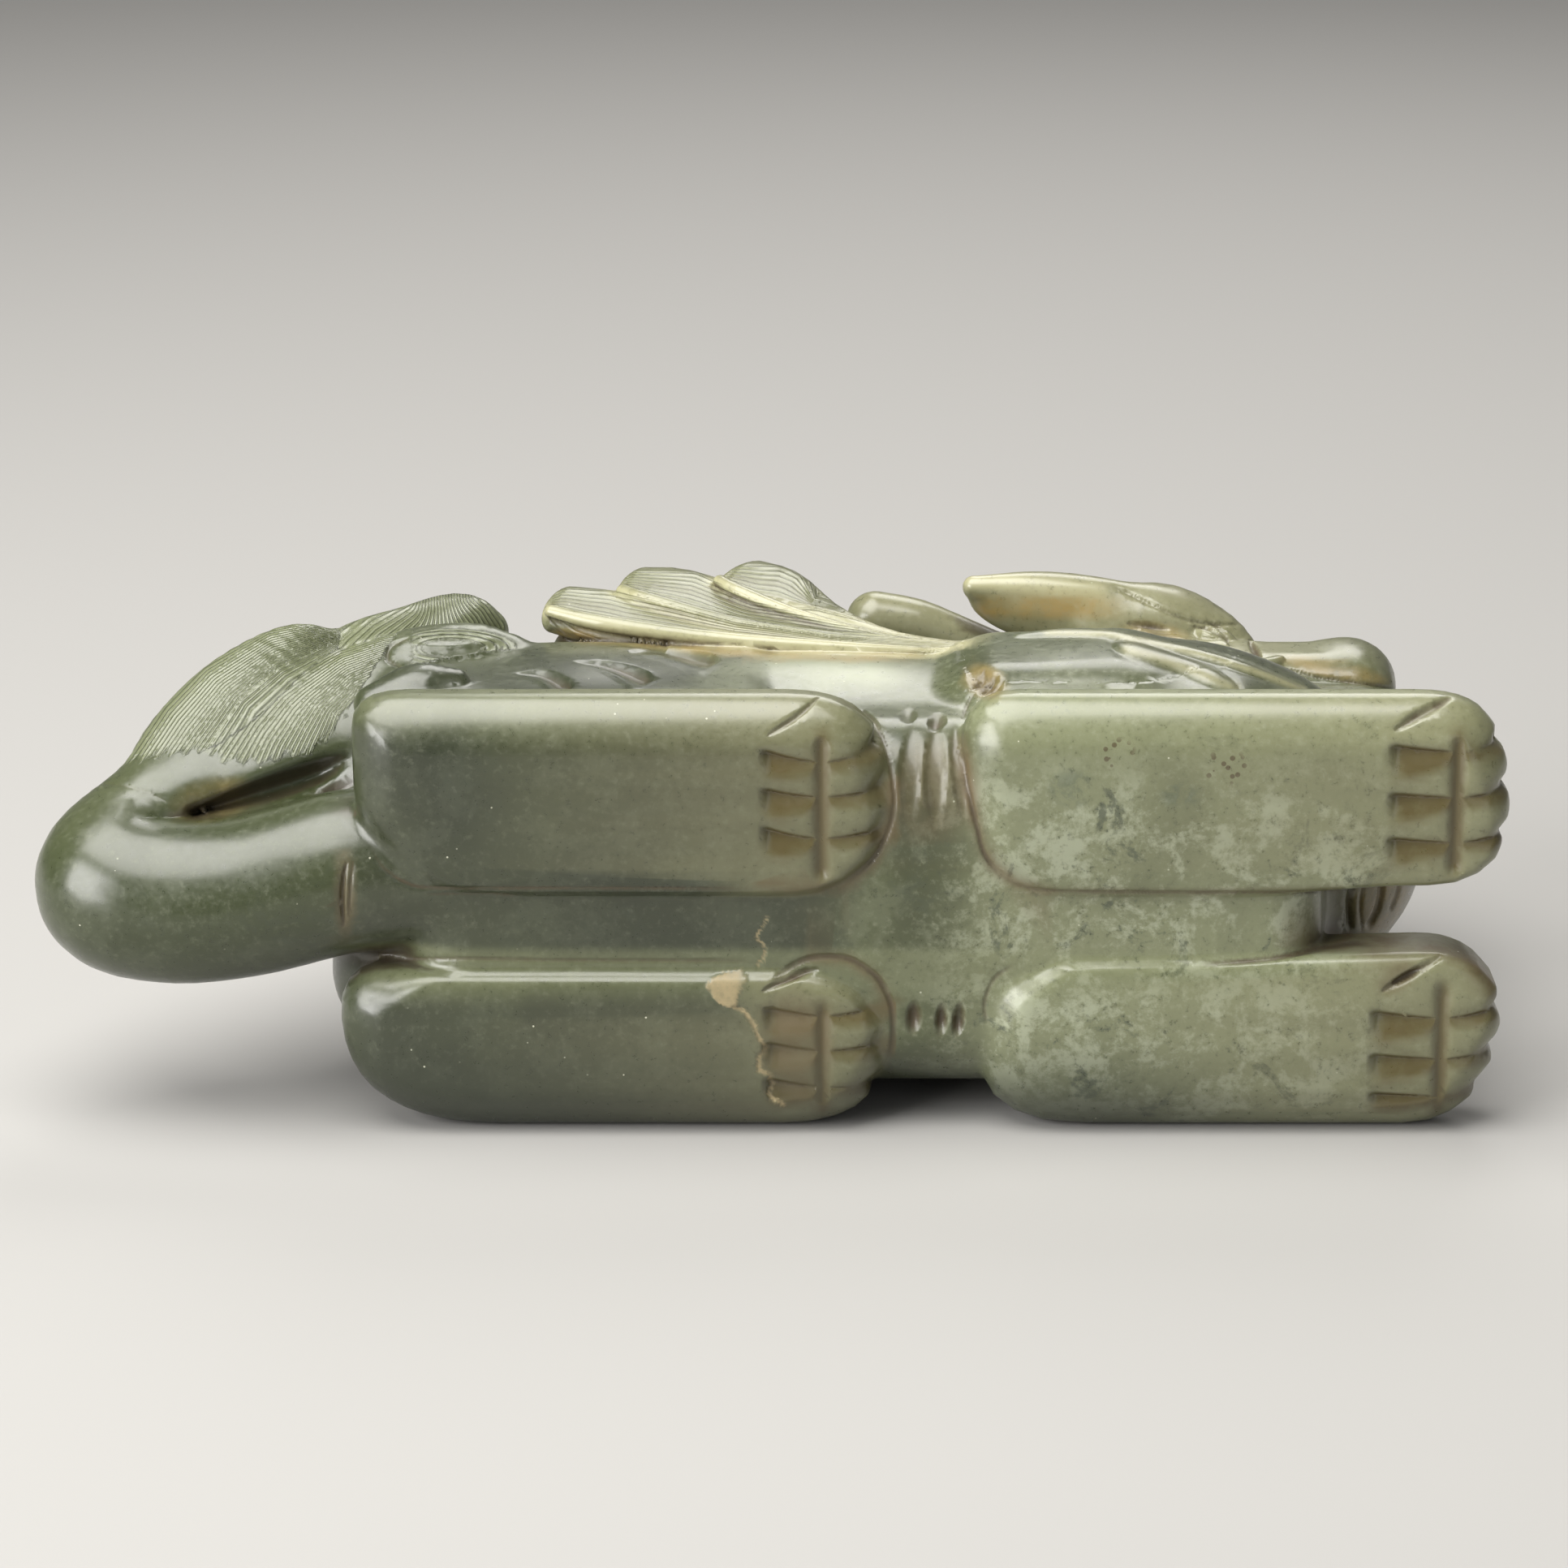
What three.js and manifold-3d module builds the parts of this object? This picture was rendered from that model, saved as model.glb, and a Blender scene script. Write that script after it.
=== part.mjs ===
// A crouching winged beast carved from one jade stone, lying on its left flank.
// Millimetres. +X is the beast's forward, +Y its dorsal side, +Z its right side, which is up as it lies.
// The flat undersides of the four lower legs lie in one plane that faces -Y.
import * as THREE from 'three';
import { mergeVertices } from 'three/addons/utils/BufferGeometryUtils.js';
import { ParametricGeometry } from 'three/addons/geometries/ParametricGeometry.js';
import { RoundedBoxGeometry } from 'three/addons/geometries/RoundedBoxGeometry.js';
import Module from 'manifold-3d';

const wasm = await Module();
wasm.setup();

// ---------------------------------------------------------------- driving sizes
const GROUND = 1;            // the ground it lies on, in the beast's own heights
const MID = 32;              // height of the beast's middle plane, lying
const TOP = 63.9;            // right flank of the upper legs
const CHANNEL_TOP = 35.8;    // the channel between the right and the left legs
const CHANNEL_LOW = 24.6;
const LEG_DEPTH = 13;        // lower legs, sole to back
const BELLY = 2.6;           // belly surface behind the plane of the soles
const BACK = 62;             // spine, from the soles
const HEEL_X = -59.6, HIND_TIP = 14.6;       // hind legs, heel to toes
const ELBOW_X = 24.4, FORE_TIP = 100.2;      // forelegs, elbow to toes
const TAIL_R = 11.5, TAIL_X = -93.8;         // tail root radius, middle of the turn
const HEAD_Y = 74, HEAD_HALF = 21.5;         // middle of the head above the soles, half its width
const GROOVE = 1.1;                          // half width of the cross groove in a paw
const TOES = 4, FEATHERS = 3, RIBS = 3, SCUTES = 4;

// ---------------------------------------------------------------- solids from geometry
function toSolid(geometry) {
  const g = geometry.index ? geometry.toNonIndexed() : geometry;
  const bare = new THREE.BufferGeometry();
  bare.setAttribute('position', g.attributes.position.clone());
  const m = mergeVertices(bare, 1e-3);
  const pos = m.attributes.position.array, idx = m.index.array, tris = [];
  let vol = 0;
  const A = new THREE.Vector3(), B = new THREE.Vector3(), C = new THREE.Vector3();
  for (let i = 0; i < idx.length; i += 3) {
    const [a, b, c] = [idx[i], idx[i + 1], idx[i + 2]];
    if (a === b || b === c || a === c) continue;
    tris.push(a, b, c);
    vol += A.fromArray(pos, a * 3).dot(B.fromArray(pos, b * 3).cross(C.fromArray(pos, c * 3))) / 6;
  }
  if (vol < 0) for (let i = 0; i < tris.length; i += 3) [tris[i + 1], tris[i + 2]] = [tris[i + 2], tris[i + 1]];
  return new wasm.Manifold(new wasm.Mesh({ numProp: 3, vertProperties: new Float32Array(pos), triVerts: new Uint32Array(tris) }));
}

// ellipsoid, optionally turned (degrees about X, Y, Z)
function egg(cx, cy, cz, rx, ry, rz, turn = [0, 0, 0], seg = 12) {
  const g = new THREE.SphereGeometry(1, seg, Math.round(seg * 0.6));
  g.rotateX(Math.PI / 2).scale(rx, ry, rz);
  g.rotateX(THREE.MathUtils.degToRad(turn[0])).rotateY(THREE.MathUtils.degToRad(turn[1])).rotateZ(THREE.MathUtils.degToRad(turn[2]));
  return toSolid(g.translate(cx, cy, cz));
}

// block with rounded edges: centre, half sizes, edge radius
function block(c, h, r, seg = 1) {
  return toSolid(new RoundedBoxGeometry(2 * h[0], 2 * h[1], 2 * h[2], seg, r).translate(...c));
}

// tapering rod along a smooth path, with a flattened section: half width a[i] across,
// half thickness b[i] along the direction `face`, and rounded ends
function limb(points, a, b, face, nu = 7, nv = 9, caps = 2) {
  const curve = new THREE.CatmullRomCurve3(points.map((p) => new THREE.Vector3(...p)), false, 'catmullrom', 0.5);
  const at = (list, t) => {
    if (typeof list === 'number') return list;
    const s = t * (list.length - 1), i = Math.min(Math.floor(s), list.length - 2);
    return list[i] + (list[i + 1] - list[i]) * (s - i);
  };
  const B = b ?? a, up = new THREE.Vector3(...(face ?? [0, 0, 1]));
  const rings = nu + 2 * caps;
  const T = new THREE.Vector3(), S = new THREE.Vector3(), N = new THREE.Vector3(), P = new THREE.Vector3();
  const ring = (u) => {
    const k = Math.round(u * rings);
    let t, shrink = 1, push = 0;
    if (k < caps) { t = 0; const q = (1 - k / caps) * Math.PI / 2; shrink = Math.cos(q); push = -Math.sin(q); }
    else if (k > rings - caps) { t = 1; const q = (1 - (rings - k) / caps) * Math.PI / 2; shrink = Math.cos(q); push = Math.sin(q); }
    else t = (k - caps) / nu;
    if (k === 0 || k === rings) shrink = 0;
    return { t, shrink, push };
  };
  const g = new ParametricGeometry((u, v, out) => {
    const { t, shrink, push } = ring(v), w = Math.round(u * nv) % nv / nv * 2 * Math.PI;
    curve.getPoint(t, P); curve.getTangent(t, T);
    N.copy(up).addScaledVector(T, -up.dot(T)).normalize(); S.crossVectors(T, N);
    const ra = at(a, t), rb = at(B, t);
    out.copy(P).addScaledVector(T, push * Math.min(ra, rb))
      .addScaledVector(S, Math.cos(w) * ra * shrink).addScaledVector(N, Math.sin(w) * rb * shrink);
  }, nv, rings);
  return toSolid(g);
}

const flip = (p) => p.map(([x, y, z]) => [x, y, 2 * MID - z]);
const join = (list) => list.reduce((s, t) => s.add(t));
const sides = [1, -1];

// outline in XZ with its own radius at each corner, moved inwards by d
function outline(corners, d) {
  const n = corners.length, V = corners.map(([x, z]) => new THREE.Vector2(x, z));
  const turn = Math.sign(V.reduce((t, v, i) => t + v.cross(V[(i + 1) % n]), 0));
  const s = new THREE.Shape(), inner = V.map((b, i) => {
    const e = b.clone().sub(V[(i + n - 1) % n]).normalize(), f = V[(i + 1) % n].clone().sub(b).normalize();
    const m = new THREE.Vector2(-e.y - f.y, e.x + f.x).multiplyScalar(turn * d / (1 + e.dot(f)));
    return b.clone().add(m);
  });
  inner.forEach((b, i) => {
    const a = inner[(i + n - 1) % n], c = inner[(i + 1) % n], r = Math.max(corners[i][2] - d * 0.8, 0.6);
    const p = b.clone().add(a.clone().sub(b).setLength(Math.min(r, a.distanceTo(b) * 0.45)));
    const q = b.clone().add(c.clone().sub(b).setLength(Math.min(r, c.distanceTo(b) * 0.45)));
    if (i === 0) s.moveTo(p.x, p.y); else s.lineTo(p.x, p.y);
    s.quadraticCurveTo(b.x, b.y, q.x, q.y);
  });
  // wide corners get four points, slight ones a single point, the same at every depth
  return s.curves.filter((c) => c.type === 'QuadraticBezierCurve').flatMap((c, i) => (corners[i][2] > 4.5 ? c.getPoints(3) : [c.getPoint(0.5)]));
}
// a leg's block from the soles (y = 0) to `depth`, its edges rounded on radius `edge`
function legBlock(corners, depth, edge) {
  const steps = 2, levels = [];
  for (let k = 0; k <= steps; k++) { const t = k / steps * Math.PI / 2; levels.push([edge * (1 - Math.cos(t)), edge * (1 - Math.sin(t))]); }
  for (let k = steps; k >= 0; k--) { const t = k / steps * Math.PI / 2; levels.push([depth - edge * (1 - Math.cos(t)), edge * (1 - Math.sin(t))]); }
  const rings = levels.map(([y, d]) => outline(corners, d).map((p) => [p.x, y, p.y]));
  const n = rings[0].length, pole = (ring) => [0, 1, 2].map((k) => ring.reduce((t, p) => t + p[k], 0) / n);
  const all = [null, ...rings, null], tips = [pole(rings[0]), pole(rings[rings.length - 1])];
  return toSolid(new ParametricGeometry((u, v, out) => {
    const j = Math.round(v * (all.length - 1)), i = Math.round(u * n) % n;
    out.set(...(j === 0 ? tips[0] : j === all.length - 1 ? tips[1] : all[j][i]));
  }, n, all.length - 1));
}

// ---------------------------------------------------------------- lower legs and paws
const LEGS = {
  rightHind: { edge: 4.6, z: [36.4, TOP], rear: -3.4, cross: 5.2, front: HIND_TIP,
    corners: [[HEEL_X, TOP, 8], [6, TOP, 6], [13.2, 59.6, 4], [14.7, 52, 4], [14.9, 46, 4], [11.5, 40.5, 4], [5, 36, 4], [-44, 36, 9], [-54.5, 39.5, 4], [-59.4, 47, 4], [HEEL_X, 54, 3]],
    lines: [[57.2, 55.6, 57.6], [51.6, 50.6, 51.6], [46.2, 44.6, 45.8]] },
  leftHind: { edge: 4.6, z: [GROUND, CHANNEL_LOW], rear: -3.0, cross: 5.5, front: HIND_TIP,
    corners: [[-62.6, CHANNEL_LOW, 9], [5, CHANNEL_LOW, 5], [13, 20, 4], [14.9, 13.5, 4], [13.5, 7.6, 4], [10.5, 3.4, 4], [4, GROUND, 4], [-50, GROUND, 10], [-61.4, 8.6, 8]],
    lines: [[19.6, 18.7, 19.8], [14.4, 13.6, 14.4], [9.2, 8.2, 7.8]] },
  rightFore: { edge: 4.6, z: [37.3, TOP], rear: 82.7, cross: 92.4, front: FORE_TIP,
    corners: [[ELBOW_X, TOP, 8], [93, TOP, 6], [98.6, 59.6, 4], [100.1, 53, 4], [100.4, 47, 4], [98.8, 41, 4], [93, 37.3, 4], [84, 37.3, 4], [66, CHANNEL_TOP, 4], [ELBOW_X, CHANNEL_TOP, 15]],
    lines: [[57.7, 57.0, 57.8], [50.8, 50.5, 51.6], [44.4, 44.0, 45.2]] },
  leftFore: { edge: 4.6, z: [GROUND, 27.5], rear: 81.3, cross: 91.5, front: 99.8,
    corners: [[27, 26, 10], [93.5, 27.6, 5], [99.9, 22.6, 4], [100.3, 16.5, 4], [99.4, 10.5, 4], [97, 5.2, 4], [91, GROUND, 4], [27, GROUND, 15]],
    lines: [[19.2, 18.4, 19.6], [12.8, 12.4, 13.4], [7.0, 6.8, 8.4]] },
};
function legWithPaw({ corners, edge, z, rear, cross, front, lines }) {
  let s = legBlock(corners, LEG_DEPTH, edge);
  const down = [0, 1, 0];
  for (const [a, m, c] of lines.slice(0, TOES - 1)) {
    // wedge behind the cross groove, then the gap between two toes, which opens to the front
    s = s.subtract(limb([[rear + 1.4, -0.4, a - 0.9], [(rear + cross) / 2, -0.4, (a + m) / 2 - 0.4], [cross + 0.2, -0.4, m]], [1.8, 1.1, 0.7], [1.8, 1.4, 1.0], down, 1, 4, 1));
    s = s.subtract(limb([[cross, -0.4, m], [(cross + front) / 2, -0.6, (m + c) / 2], [front + 0.8, -0.8, c - 0.2]], [0.7, 1.0, 1.9], [1.0, 2.4, 7.5], down, 2, 4, 1));
  }
  return s.subtract(limb([[cross, -0.4, z[1] - 4.5], [cross, -0.4, (z[0] + z[1]) / 2], [cross, -0.4, z[0] + 3]], [1.0, GROOVE + 0.2, 1.0], [1.1, 1.4, 1.1], down, 1, 4, 1));
}

// ---------------------------------------------------------------- trunk
const parts = [];
parts.push(block([8, BELLY + 23.4, MID], [62, 23.4, 26.5], 11, 2));
parts.push(block([40, BELLY + 17.4, MID], [35.5, 17.4, 13], 5));                  // brisket between the forelegs
parts.push(egg(5, BACK - 26, MID, 60, 26, 28, [0, 0, 0], 13));
parts.push(egg(-53, 22, 19, 11.5, 12, 12, [0, 0, 0], 9));
parts.push(egg(-58, 34, 45, 12, 14, 14, [0, 0, 0], 9));
for (const s of sides) {
  parts.push(block([-29.5, 28, MID + s * 17 - 0.8], [29.5, 19, 12.8], 6.5));     // haunch, a flat sided block
  parts.push(egg(-29, 33, MID + s * 14, 29, 24, 15.4, [0, 0, 0], 11));
  parts.push(egg(51, 34, MID + s * 13, 33, 25, 18, [0, 0, 0], 12));             // shoulder
  parts.push(block([39, 33, MID + s * 15.6], [17, 16, 15.4], 9));
}
parts.push(egg(-48, 30, MID, 14, 20, 22, [0, 0, 0], 10));
parts.push(egg(60, 52, MID, 30, 24, 23, [0, 0, 0], 11));                         // neck
const CHEST = { c: [72, 38, MID], r: [20.4, 24, 18.5] };
parts.push(egg(...CHEST.c, ...CHEST.r, [0, 0, 0], 12));
// spine: a low ridge of rounded knobs from the neck to the rump
const KNOBS = 6;
for (let i = 0; i < KNOBS; i++) {
  const x = 21 - 12 * i, y = BACK - 26 + 26 * Math.sqrt(1 - Math.pow((x - 5) / 60, 2));
  parts.push(egg(x, y - 0.2, MID, 4.6, 2.5, 3.4, [0, 0, 0], 6));
}

// ---------------------------------------------------------------- head
parts.push(egg(55, HEAD_Y, MID, 27, 15, HEAD_HALF, [0, 0, 0], 12));
parts.push(block([78, HEAD_Y - 1, MID], [14, 9.4, 19.9], 7));                    // muzzle
parts.push(block([77, 61, MID], [14, 6, 17], 5));                                // lower jaw
for (const s of sides) {
  const z = (d) => MID + s * d;
  parts.push(limb([[52, 84, z(10)], [38, 86, z(13)], [31.8, 86.5, z(15.2)], [26, 87, z(17.3)], [20, 87.3, z(19.3)], [14, 87.5, z(20.2)]], [4, 3.6, 3.6, 3.9, 4.3, 4.5], null, [0, 1, 0], 5, 7));   // horn
  parts.push(egg(44.6, 83.2, z(22.6), 16.6, 4.9, 5.8, [0, s * 9, 0], 9));       // ear, with its rolled upper rim
  parts.push(limb([[55, 82.8, z(24.6)], [47, 82.2, z(26)], [38, 81.8, z(26.9)], [28.8, 81.9, z(27)]], [2.0, 1.9, 1.8, 1.7], null, [0, 1, 0], 3, 5));
  parts.push(limb([[47, 82, z(21)], [57, 83.5, z(21.5)], [65, 83, z(18.5)], [70.5, 81, z(15)]], [5, 6.5, 5.5, 3], [4.6, 5.2, 4.6, 3], [0, -0.3, s], 4, 6));          // brow
  parts.push(egg(85, HEAD_Y + 1, z(14.4), 7, 8, 5.9, [0, 0, 0], 9));               // nostril wing
  parts.push(egg(65, 78, z(19.2), 3.6, 2.2, 2.4, [0, 0, 0], 7));                   // eye
}

parts.push(limb([[58, 87.6, MID], [70, 85.4, MID], [82, 83.4, MID], [88, 81.2, MID]], [2.4, 2.8, 3.6, 4.2], null, [0, 1, 0], 3, 5, 1));   // bridge of the nose
// the mane falls from the head to the back in three locks
for (const o of [-7.2, 0, 7.2])
  parts.push(limb([[46, 86.4, MID + o], [36, 85.4, MID + o], [29.6, 80, MID + 1.1 * o], [27.8, 72.5, MID + 1.15 * o], [29, 65.5, MID + 1.15 * o], [24.5, 61.4, MID + 1.1 * o]], [3.4, 4.2, 4.4, 4.2, 3.6, 1.6], null, [1, 0, 0], 4, 5, 1));

// ---------------------------------------------------------------- tail and its locks of hair
parts.push(limb([[-50, 14, 36.2], [-62, 12.5, 36], [-75, 12, 32.8], [-86, 12.5, 31.8], [TAIL_X, 14.5, 33.5], [TAIL_X + 1.8, 20, 38.3], [-85, 24.5, 42.5]],
  [11.6, TAIL_R, 11.4, 11.6, TAIL_R, 9.2, 8], null, [0, 0.3, 1], 10, 10, 3));
parts.push(egg(-87.3, 22.7, 37.2, 3, 3, 3, [0, 0, 0], 6));                       // inside of the bend
const SWEEP = [-0.25, -0.6, 0.75];
const LOCKS = [
  { p: [[-88.8, 22.5, 43.2], [-83.4, 28, 48.6], [-76.4, 34.5, 54.2], [-70.2, 40.5, 58.3], [-65.5, 43.5, 59.4]], a: [6.5, 9, 9.4, 6.8, 3], b: [6, 6.5, 6.5, 5.4, 3.2] },
  { p: [[-74, 33, 50], [-63, 43.5, 57], [-54, 50, 59], [-47.6, 54, 60], [-44, 55.3, 59.2]], a: [5, 6.2, 6, 5.5, 3.6], b: [5, 5.2, 5, 5, 3.6] },
  { p: [[-84, 21, 44.6], [-74, 25, 47.5], [-64, 31, 53], [-54, 37, 58.5], [-45, 40, 60.5], [-40, 41, 60.2]], a: [5, 8.5, 9.5, 6.5, 4.5, 2.6], b: [5, 6, 6, 5, 3.6, 2.6] },
];
for (const { p, a, b } of LOCKS) parts.push(limb(p, a, b, SWEEP, 6, 7));
parts.push(limb([[-57.5, 19, 58.5], [-51.5, 21, 60.6], [-46, 22, 61]], [3, 3.9, 2.2], [2.8, 3, 1.8], [0, -0.3, 1], 3, 6));

// ---------------------------------------------------------------- wings
const WING = [
  { p: [[29, 41, 59.6], [12, 42.4, 59.6], [-8, 47.1, 60.6], [-24, 51.3, 62.1], [-32.3, 53.6, 63]], a: [1, 3.4, 6.2, 7.4, 6.2], b: [1, 2.2, 2.6, 2.8, 2.6] },
  { p: [[29, 41.5, 59.8], [12, 45.6, 59.6], [-3.5, 52, 61.2], [-16, 58.2, 63.6], [-21.6, 60.3, 64.2]], a: [1, 3.4, 6.7, 8, 6.2], b: [1, 2.2, 2.8, 2.8, 2.6] },
  { p: [[29, 42, 59.8], [15.5, 46, 59.8], [5.5, 52.4, 61.1], [-2.2, 59.5, 63.8], [-6, 62.4, 64.8]], a: [1, 2.4, 4.8, 7.2, 6.4], b: [1, 2, 2.8, 2.8, 2.6] },
];
const SHAFT = [0.6, 1, 1.2, 1.3, 1.1];
// the line of a feather's lower edge, a little proud of its face
function lowerEdge(q, a, b, face) {
  const P = q.map((v) => new THREE.Vector3(...v)), up = new THREE.Vector3(...face);
  return P.map((v, i) => {
    const T = P[Math.min(i + 1, P.length - 1)].clone().sub(P[Math.max(i - 1, 0)]).normalize();
    const N = up.clone().addScaledVector(T, -up.dot(T)).normalize(), S = new THREE.Vector3().crossVectors(T, N);
    return v.clone().addScaledVector(S, -Math.sign(S.y) * (a[i] - 0.7)).addScaledVector(N, b[i] - 0.35).toArray();
  });
}
for (const s of sides) {
  const face = [0, -0.18, s];
  for (const { p, a, b } of WING.slice(0, FEATHERS)) {
    const q = s > 0 ? p : flip(p).map(([x, y, z]) => [x, y, z + 1.8]);
    parts.push(limb(q, a, b, face, 5, s > 0 ? 8 : 7));
    if (s > 0) parts.push(limb(lowerEdge(q, a, b, face), SHAFT, null, face, 5, 5));   // the raised shaft
  }
  parts.push(limb([[24, 42, MID + s * 22], [0, 46.5, MID + s * 21.8], [-20, 50, MID + s * 23], [-30.6, 51.8, MID + s * 25]], [6, 8, 6.4, 4.2], [5, 5.5, 4.6, 3.4], [0, 0, s], 3, 6));
}

// ---------------------------------------------------------------- cuts
let body = join(parts);
body = body.add(join(Object.values(LEGS).map(legWithPaw)));
const cuts = [];
// the slot between the tail and its locks
cuts.push(limb([[-83, 16, 43.6], [-77, 16, 45.6], [-71.2, 16, 47.4], [-66, 16, 49.3], [-62.4, 16, 51.2]], [0.5, 1.4, 2.1, 2.3, 1.5], [3, 4.5, 6, 7.5, 6], [0, 0.956, -0.292], 5, 7));
// ribs across the waist, round each edge of the belly
for (const s of sides) for (let i = 0; i < RIBS; i++) {
  const x = 17.1 + 3.4 * i, zs = [11, 18, 23, 25.8].map((d) => MID + s * d);
  cuts.push(limb([[x, BELLY - 0.1, zs[0]], [x, BELLY + 0.4, zs[1]], [x, BELLY + 3, zs[2]], [x, BELLY + 7.5, zs[3]]], 0.9, 1.0, [0, 1, 0], 4, 4, 1));
}
// throat and chest scutes: cross grooves on the chest
for (let i = 0; i < SCUTES; i++) {
  const th = THREE.MathUtils.degToRad(-42 + 26 * i), p = [];
  for (let k = -3; k <= 3; k++) {
    const ph = k * 0.36, [cx, cy, cz] = CHEST.c, [rx, ry, rz] = CHEST.r;
    p.push([cx + rx * Math.cos(th) * Math.cos(ph), cy + ry * Math.sin(th) * Math.cos(ph), cz + rz * Math.sin(ph)]);
  }
  cuts.push(limb(p, 0.9, 0.9, [1, 0, 0], 5, 4, 1));
}
// mouth line, and the nostrils
for (const s of sides) {
  cuts.push(limb([[66, 65.5, MID + s * 19], [78, 66.6, MID + s * 19], [91, 66.5, MID + s * 15]], 1.0, 1.0, [0, 1, 0], 3, 4, 1));
  cuts.push(egg(91.6, 77, MID + s * 9, 1.6, 1.4, 2, [0, 0, 0], 6));
}
// tufts gouged in the upper haunch; the lower one is plain where it lies
for (const [x0, y0, x1, y1] of [[-38, 24, -29, 19], [-29, 27.5, -18, 23], [-21.5, 33, -9, 32.5]])
  cuts.push(limb([[x0, y0, MID + 29.4], [(x0 + x1) / 2, (y0 + y1) / 2 - 0.5, MID + 29], [x1, y1, MID + 29]], [0.5, 1.2, 0.5], [0.5, 1.2, 0.5], [0, 0, 1], 2, 4, 1));
body = body.subtract(join(cuts));
// the left flank is ground flat where it lies on the ground
body = body.subtract(toSolid(new THREE.BoxGeometry(400, 300, 40).translate(0, 40, GROUND - 20)));

// ---------------------------------------------------------------- the one node
const out = body.getMesh();
const geometry = new THREE.BufferGeometry();
const xyz = new Float32Array(out.numVert * 3);
for (let i = 0; i < out.numVert; i++) for (let k = 0; k < 3; k++) xyz[3 * i + k] = out.vertProperties[i * out.numProp + k];
geometry.setAttribute('position', new THREE.BufferAttribute(xyz, 3));
geometry.setIndex(new THREE.BufferAttribute(new Uint32Array(out.triVerts), 1));
geometry.computeVertexNormals();
geometry.computeBoundingBox();

const jade = new THREE.MeshStandardMaterial({ color: 0x8f9c7a, roughness: 0.32, metalness: 0 });
const dragon = new THREE.Mesh(geometry, jade);
dragon.name = 'jade_dragon';
// the origin is the middle of the box, at the ground
const box = geometry.boundingBox;
dragon.position.set(-(box.min.x + box.max.x) / 2, -(box.min.y + box.max.y) / 2, -box.min.z);

const group = new THREE.Group();
group.name = 'jade_dragon_carving';
group.add(dragon);
export default group;
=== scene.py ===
# A crouching winged beast carved from one grey-green jade stone, lying on its left flank on a pale floor.
# Working frame, millimetres: +X the beast's forward, +Y its dorsal side, +Z its right side, which is up as it lies.
# The flat leg undersides are the plane Y = 0 and the ground is Z = GROUND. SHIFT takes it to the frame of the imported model.
import bpy
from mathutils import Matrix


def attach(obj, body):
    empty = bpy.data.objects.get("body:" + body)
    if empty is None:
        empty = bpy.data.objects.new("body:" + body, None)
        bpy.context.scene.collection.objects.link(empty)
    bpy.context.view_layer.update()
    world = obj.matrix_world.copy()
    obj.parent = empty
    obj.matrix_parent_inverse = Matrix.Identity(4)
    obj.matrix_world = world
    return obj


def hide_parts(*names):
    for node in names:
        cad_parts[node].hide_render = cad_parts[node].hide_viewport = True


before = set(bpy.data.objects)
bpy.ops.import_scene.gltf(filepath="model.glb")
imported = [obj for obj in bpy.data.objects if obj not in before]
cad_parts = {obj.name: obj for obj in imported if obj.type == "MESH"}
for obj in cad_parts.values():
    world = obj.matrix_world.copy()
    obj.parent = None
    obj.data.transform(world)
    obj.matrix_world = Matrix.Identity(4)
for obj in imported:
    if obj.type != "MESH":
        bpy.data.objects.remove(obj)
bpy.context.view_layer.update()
import bpy, math
import numpy as np
from mathutils import Vector

F = np.float32
MID = 32.0                                   # the beast's middle plane
GROUND = 1.0
SHIFT = np.array([2.45051, -45.94240, -GROUND])  # working frame -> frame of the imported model, mm
LEG = 13.0                                   # lower legs, sole to back

# ------------------------------------------------------------------ signed distances
def v(*a): return np.array(a, F)

def smin(a, b, k):
    h = np.maximum(k - np.abs(a - b), 0) / k
    return np.minimum(a, b) - h * h * k * 0.25

def smax(a, b, k):
    h = np.maximum(k - np.abs(a - b), 0) / k
    return np.maximum(a, b) + h * h * k * 0.25

def smooth(a, b, x):
    t = np.clip((x - a) / (b - a), 0, 1)
    return t * t * (3 - 2 * t)

def turned(rx=0, ry=0, rz=0):
    a, b, c = (math.radians(t) for t in (rx, ry, rz))
    X = np.array([[1, 0, 0], [0, math.cos(a), -math.sin(a)], [0, math.sin(a), math.cos(a)]])
    Y = np.array([[math.cos(b), 0, math.sin(b)], [0, 1, 0], [-math.sin(b), 0, math.cos(b)]])
    Z = np.array([[math.cos(c), -math.sin(c), 0], [math.sin(c), math.cos(c), 0], [0, 0, 1]])
    return (Z @ Y @ X).astype(F)

def ell(c, r, R=None):
    """ellipsoid"""
    c = np.array(c, F); r = np.array(r, F); m = float(r.max())
    lo, hi = (c - r, c + r) if R is None else (c - m, c + m)
    def f(P):
        q = P - c
        if R is not None: q = q @ R
        k0 = np.sqrt(((q / r) ** 2).sum(-1)) + 1e-6
        k1 = np.sqrt(((q / (r * r)) ** 2).sum(-1)) + 1e-6
        return k0 * (k0 - 1) / k1
    return f, lo, hi

def rbox(c, h, rad, R=None):
    """box with rounded edges"""
    c = np.array(c, F); h = np.array(h, F); m = float(np.linalg.norm(h))
    lo, hi = (c - m, c + m) if R is not None else (c - h, c + h)
    hh = h - rad
    def f(P):
        q = P - c
        if R is not None: q = q @ R
        q = np.abs(q) - hh
        return np.sqrt((np.maximum(q, 0) ** 2).sum(-1)) + np.minimum(q.max(-1), 0) - rad
    return f, lo, hi

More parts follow.
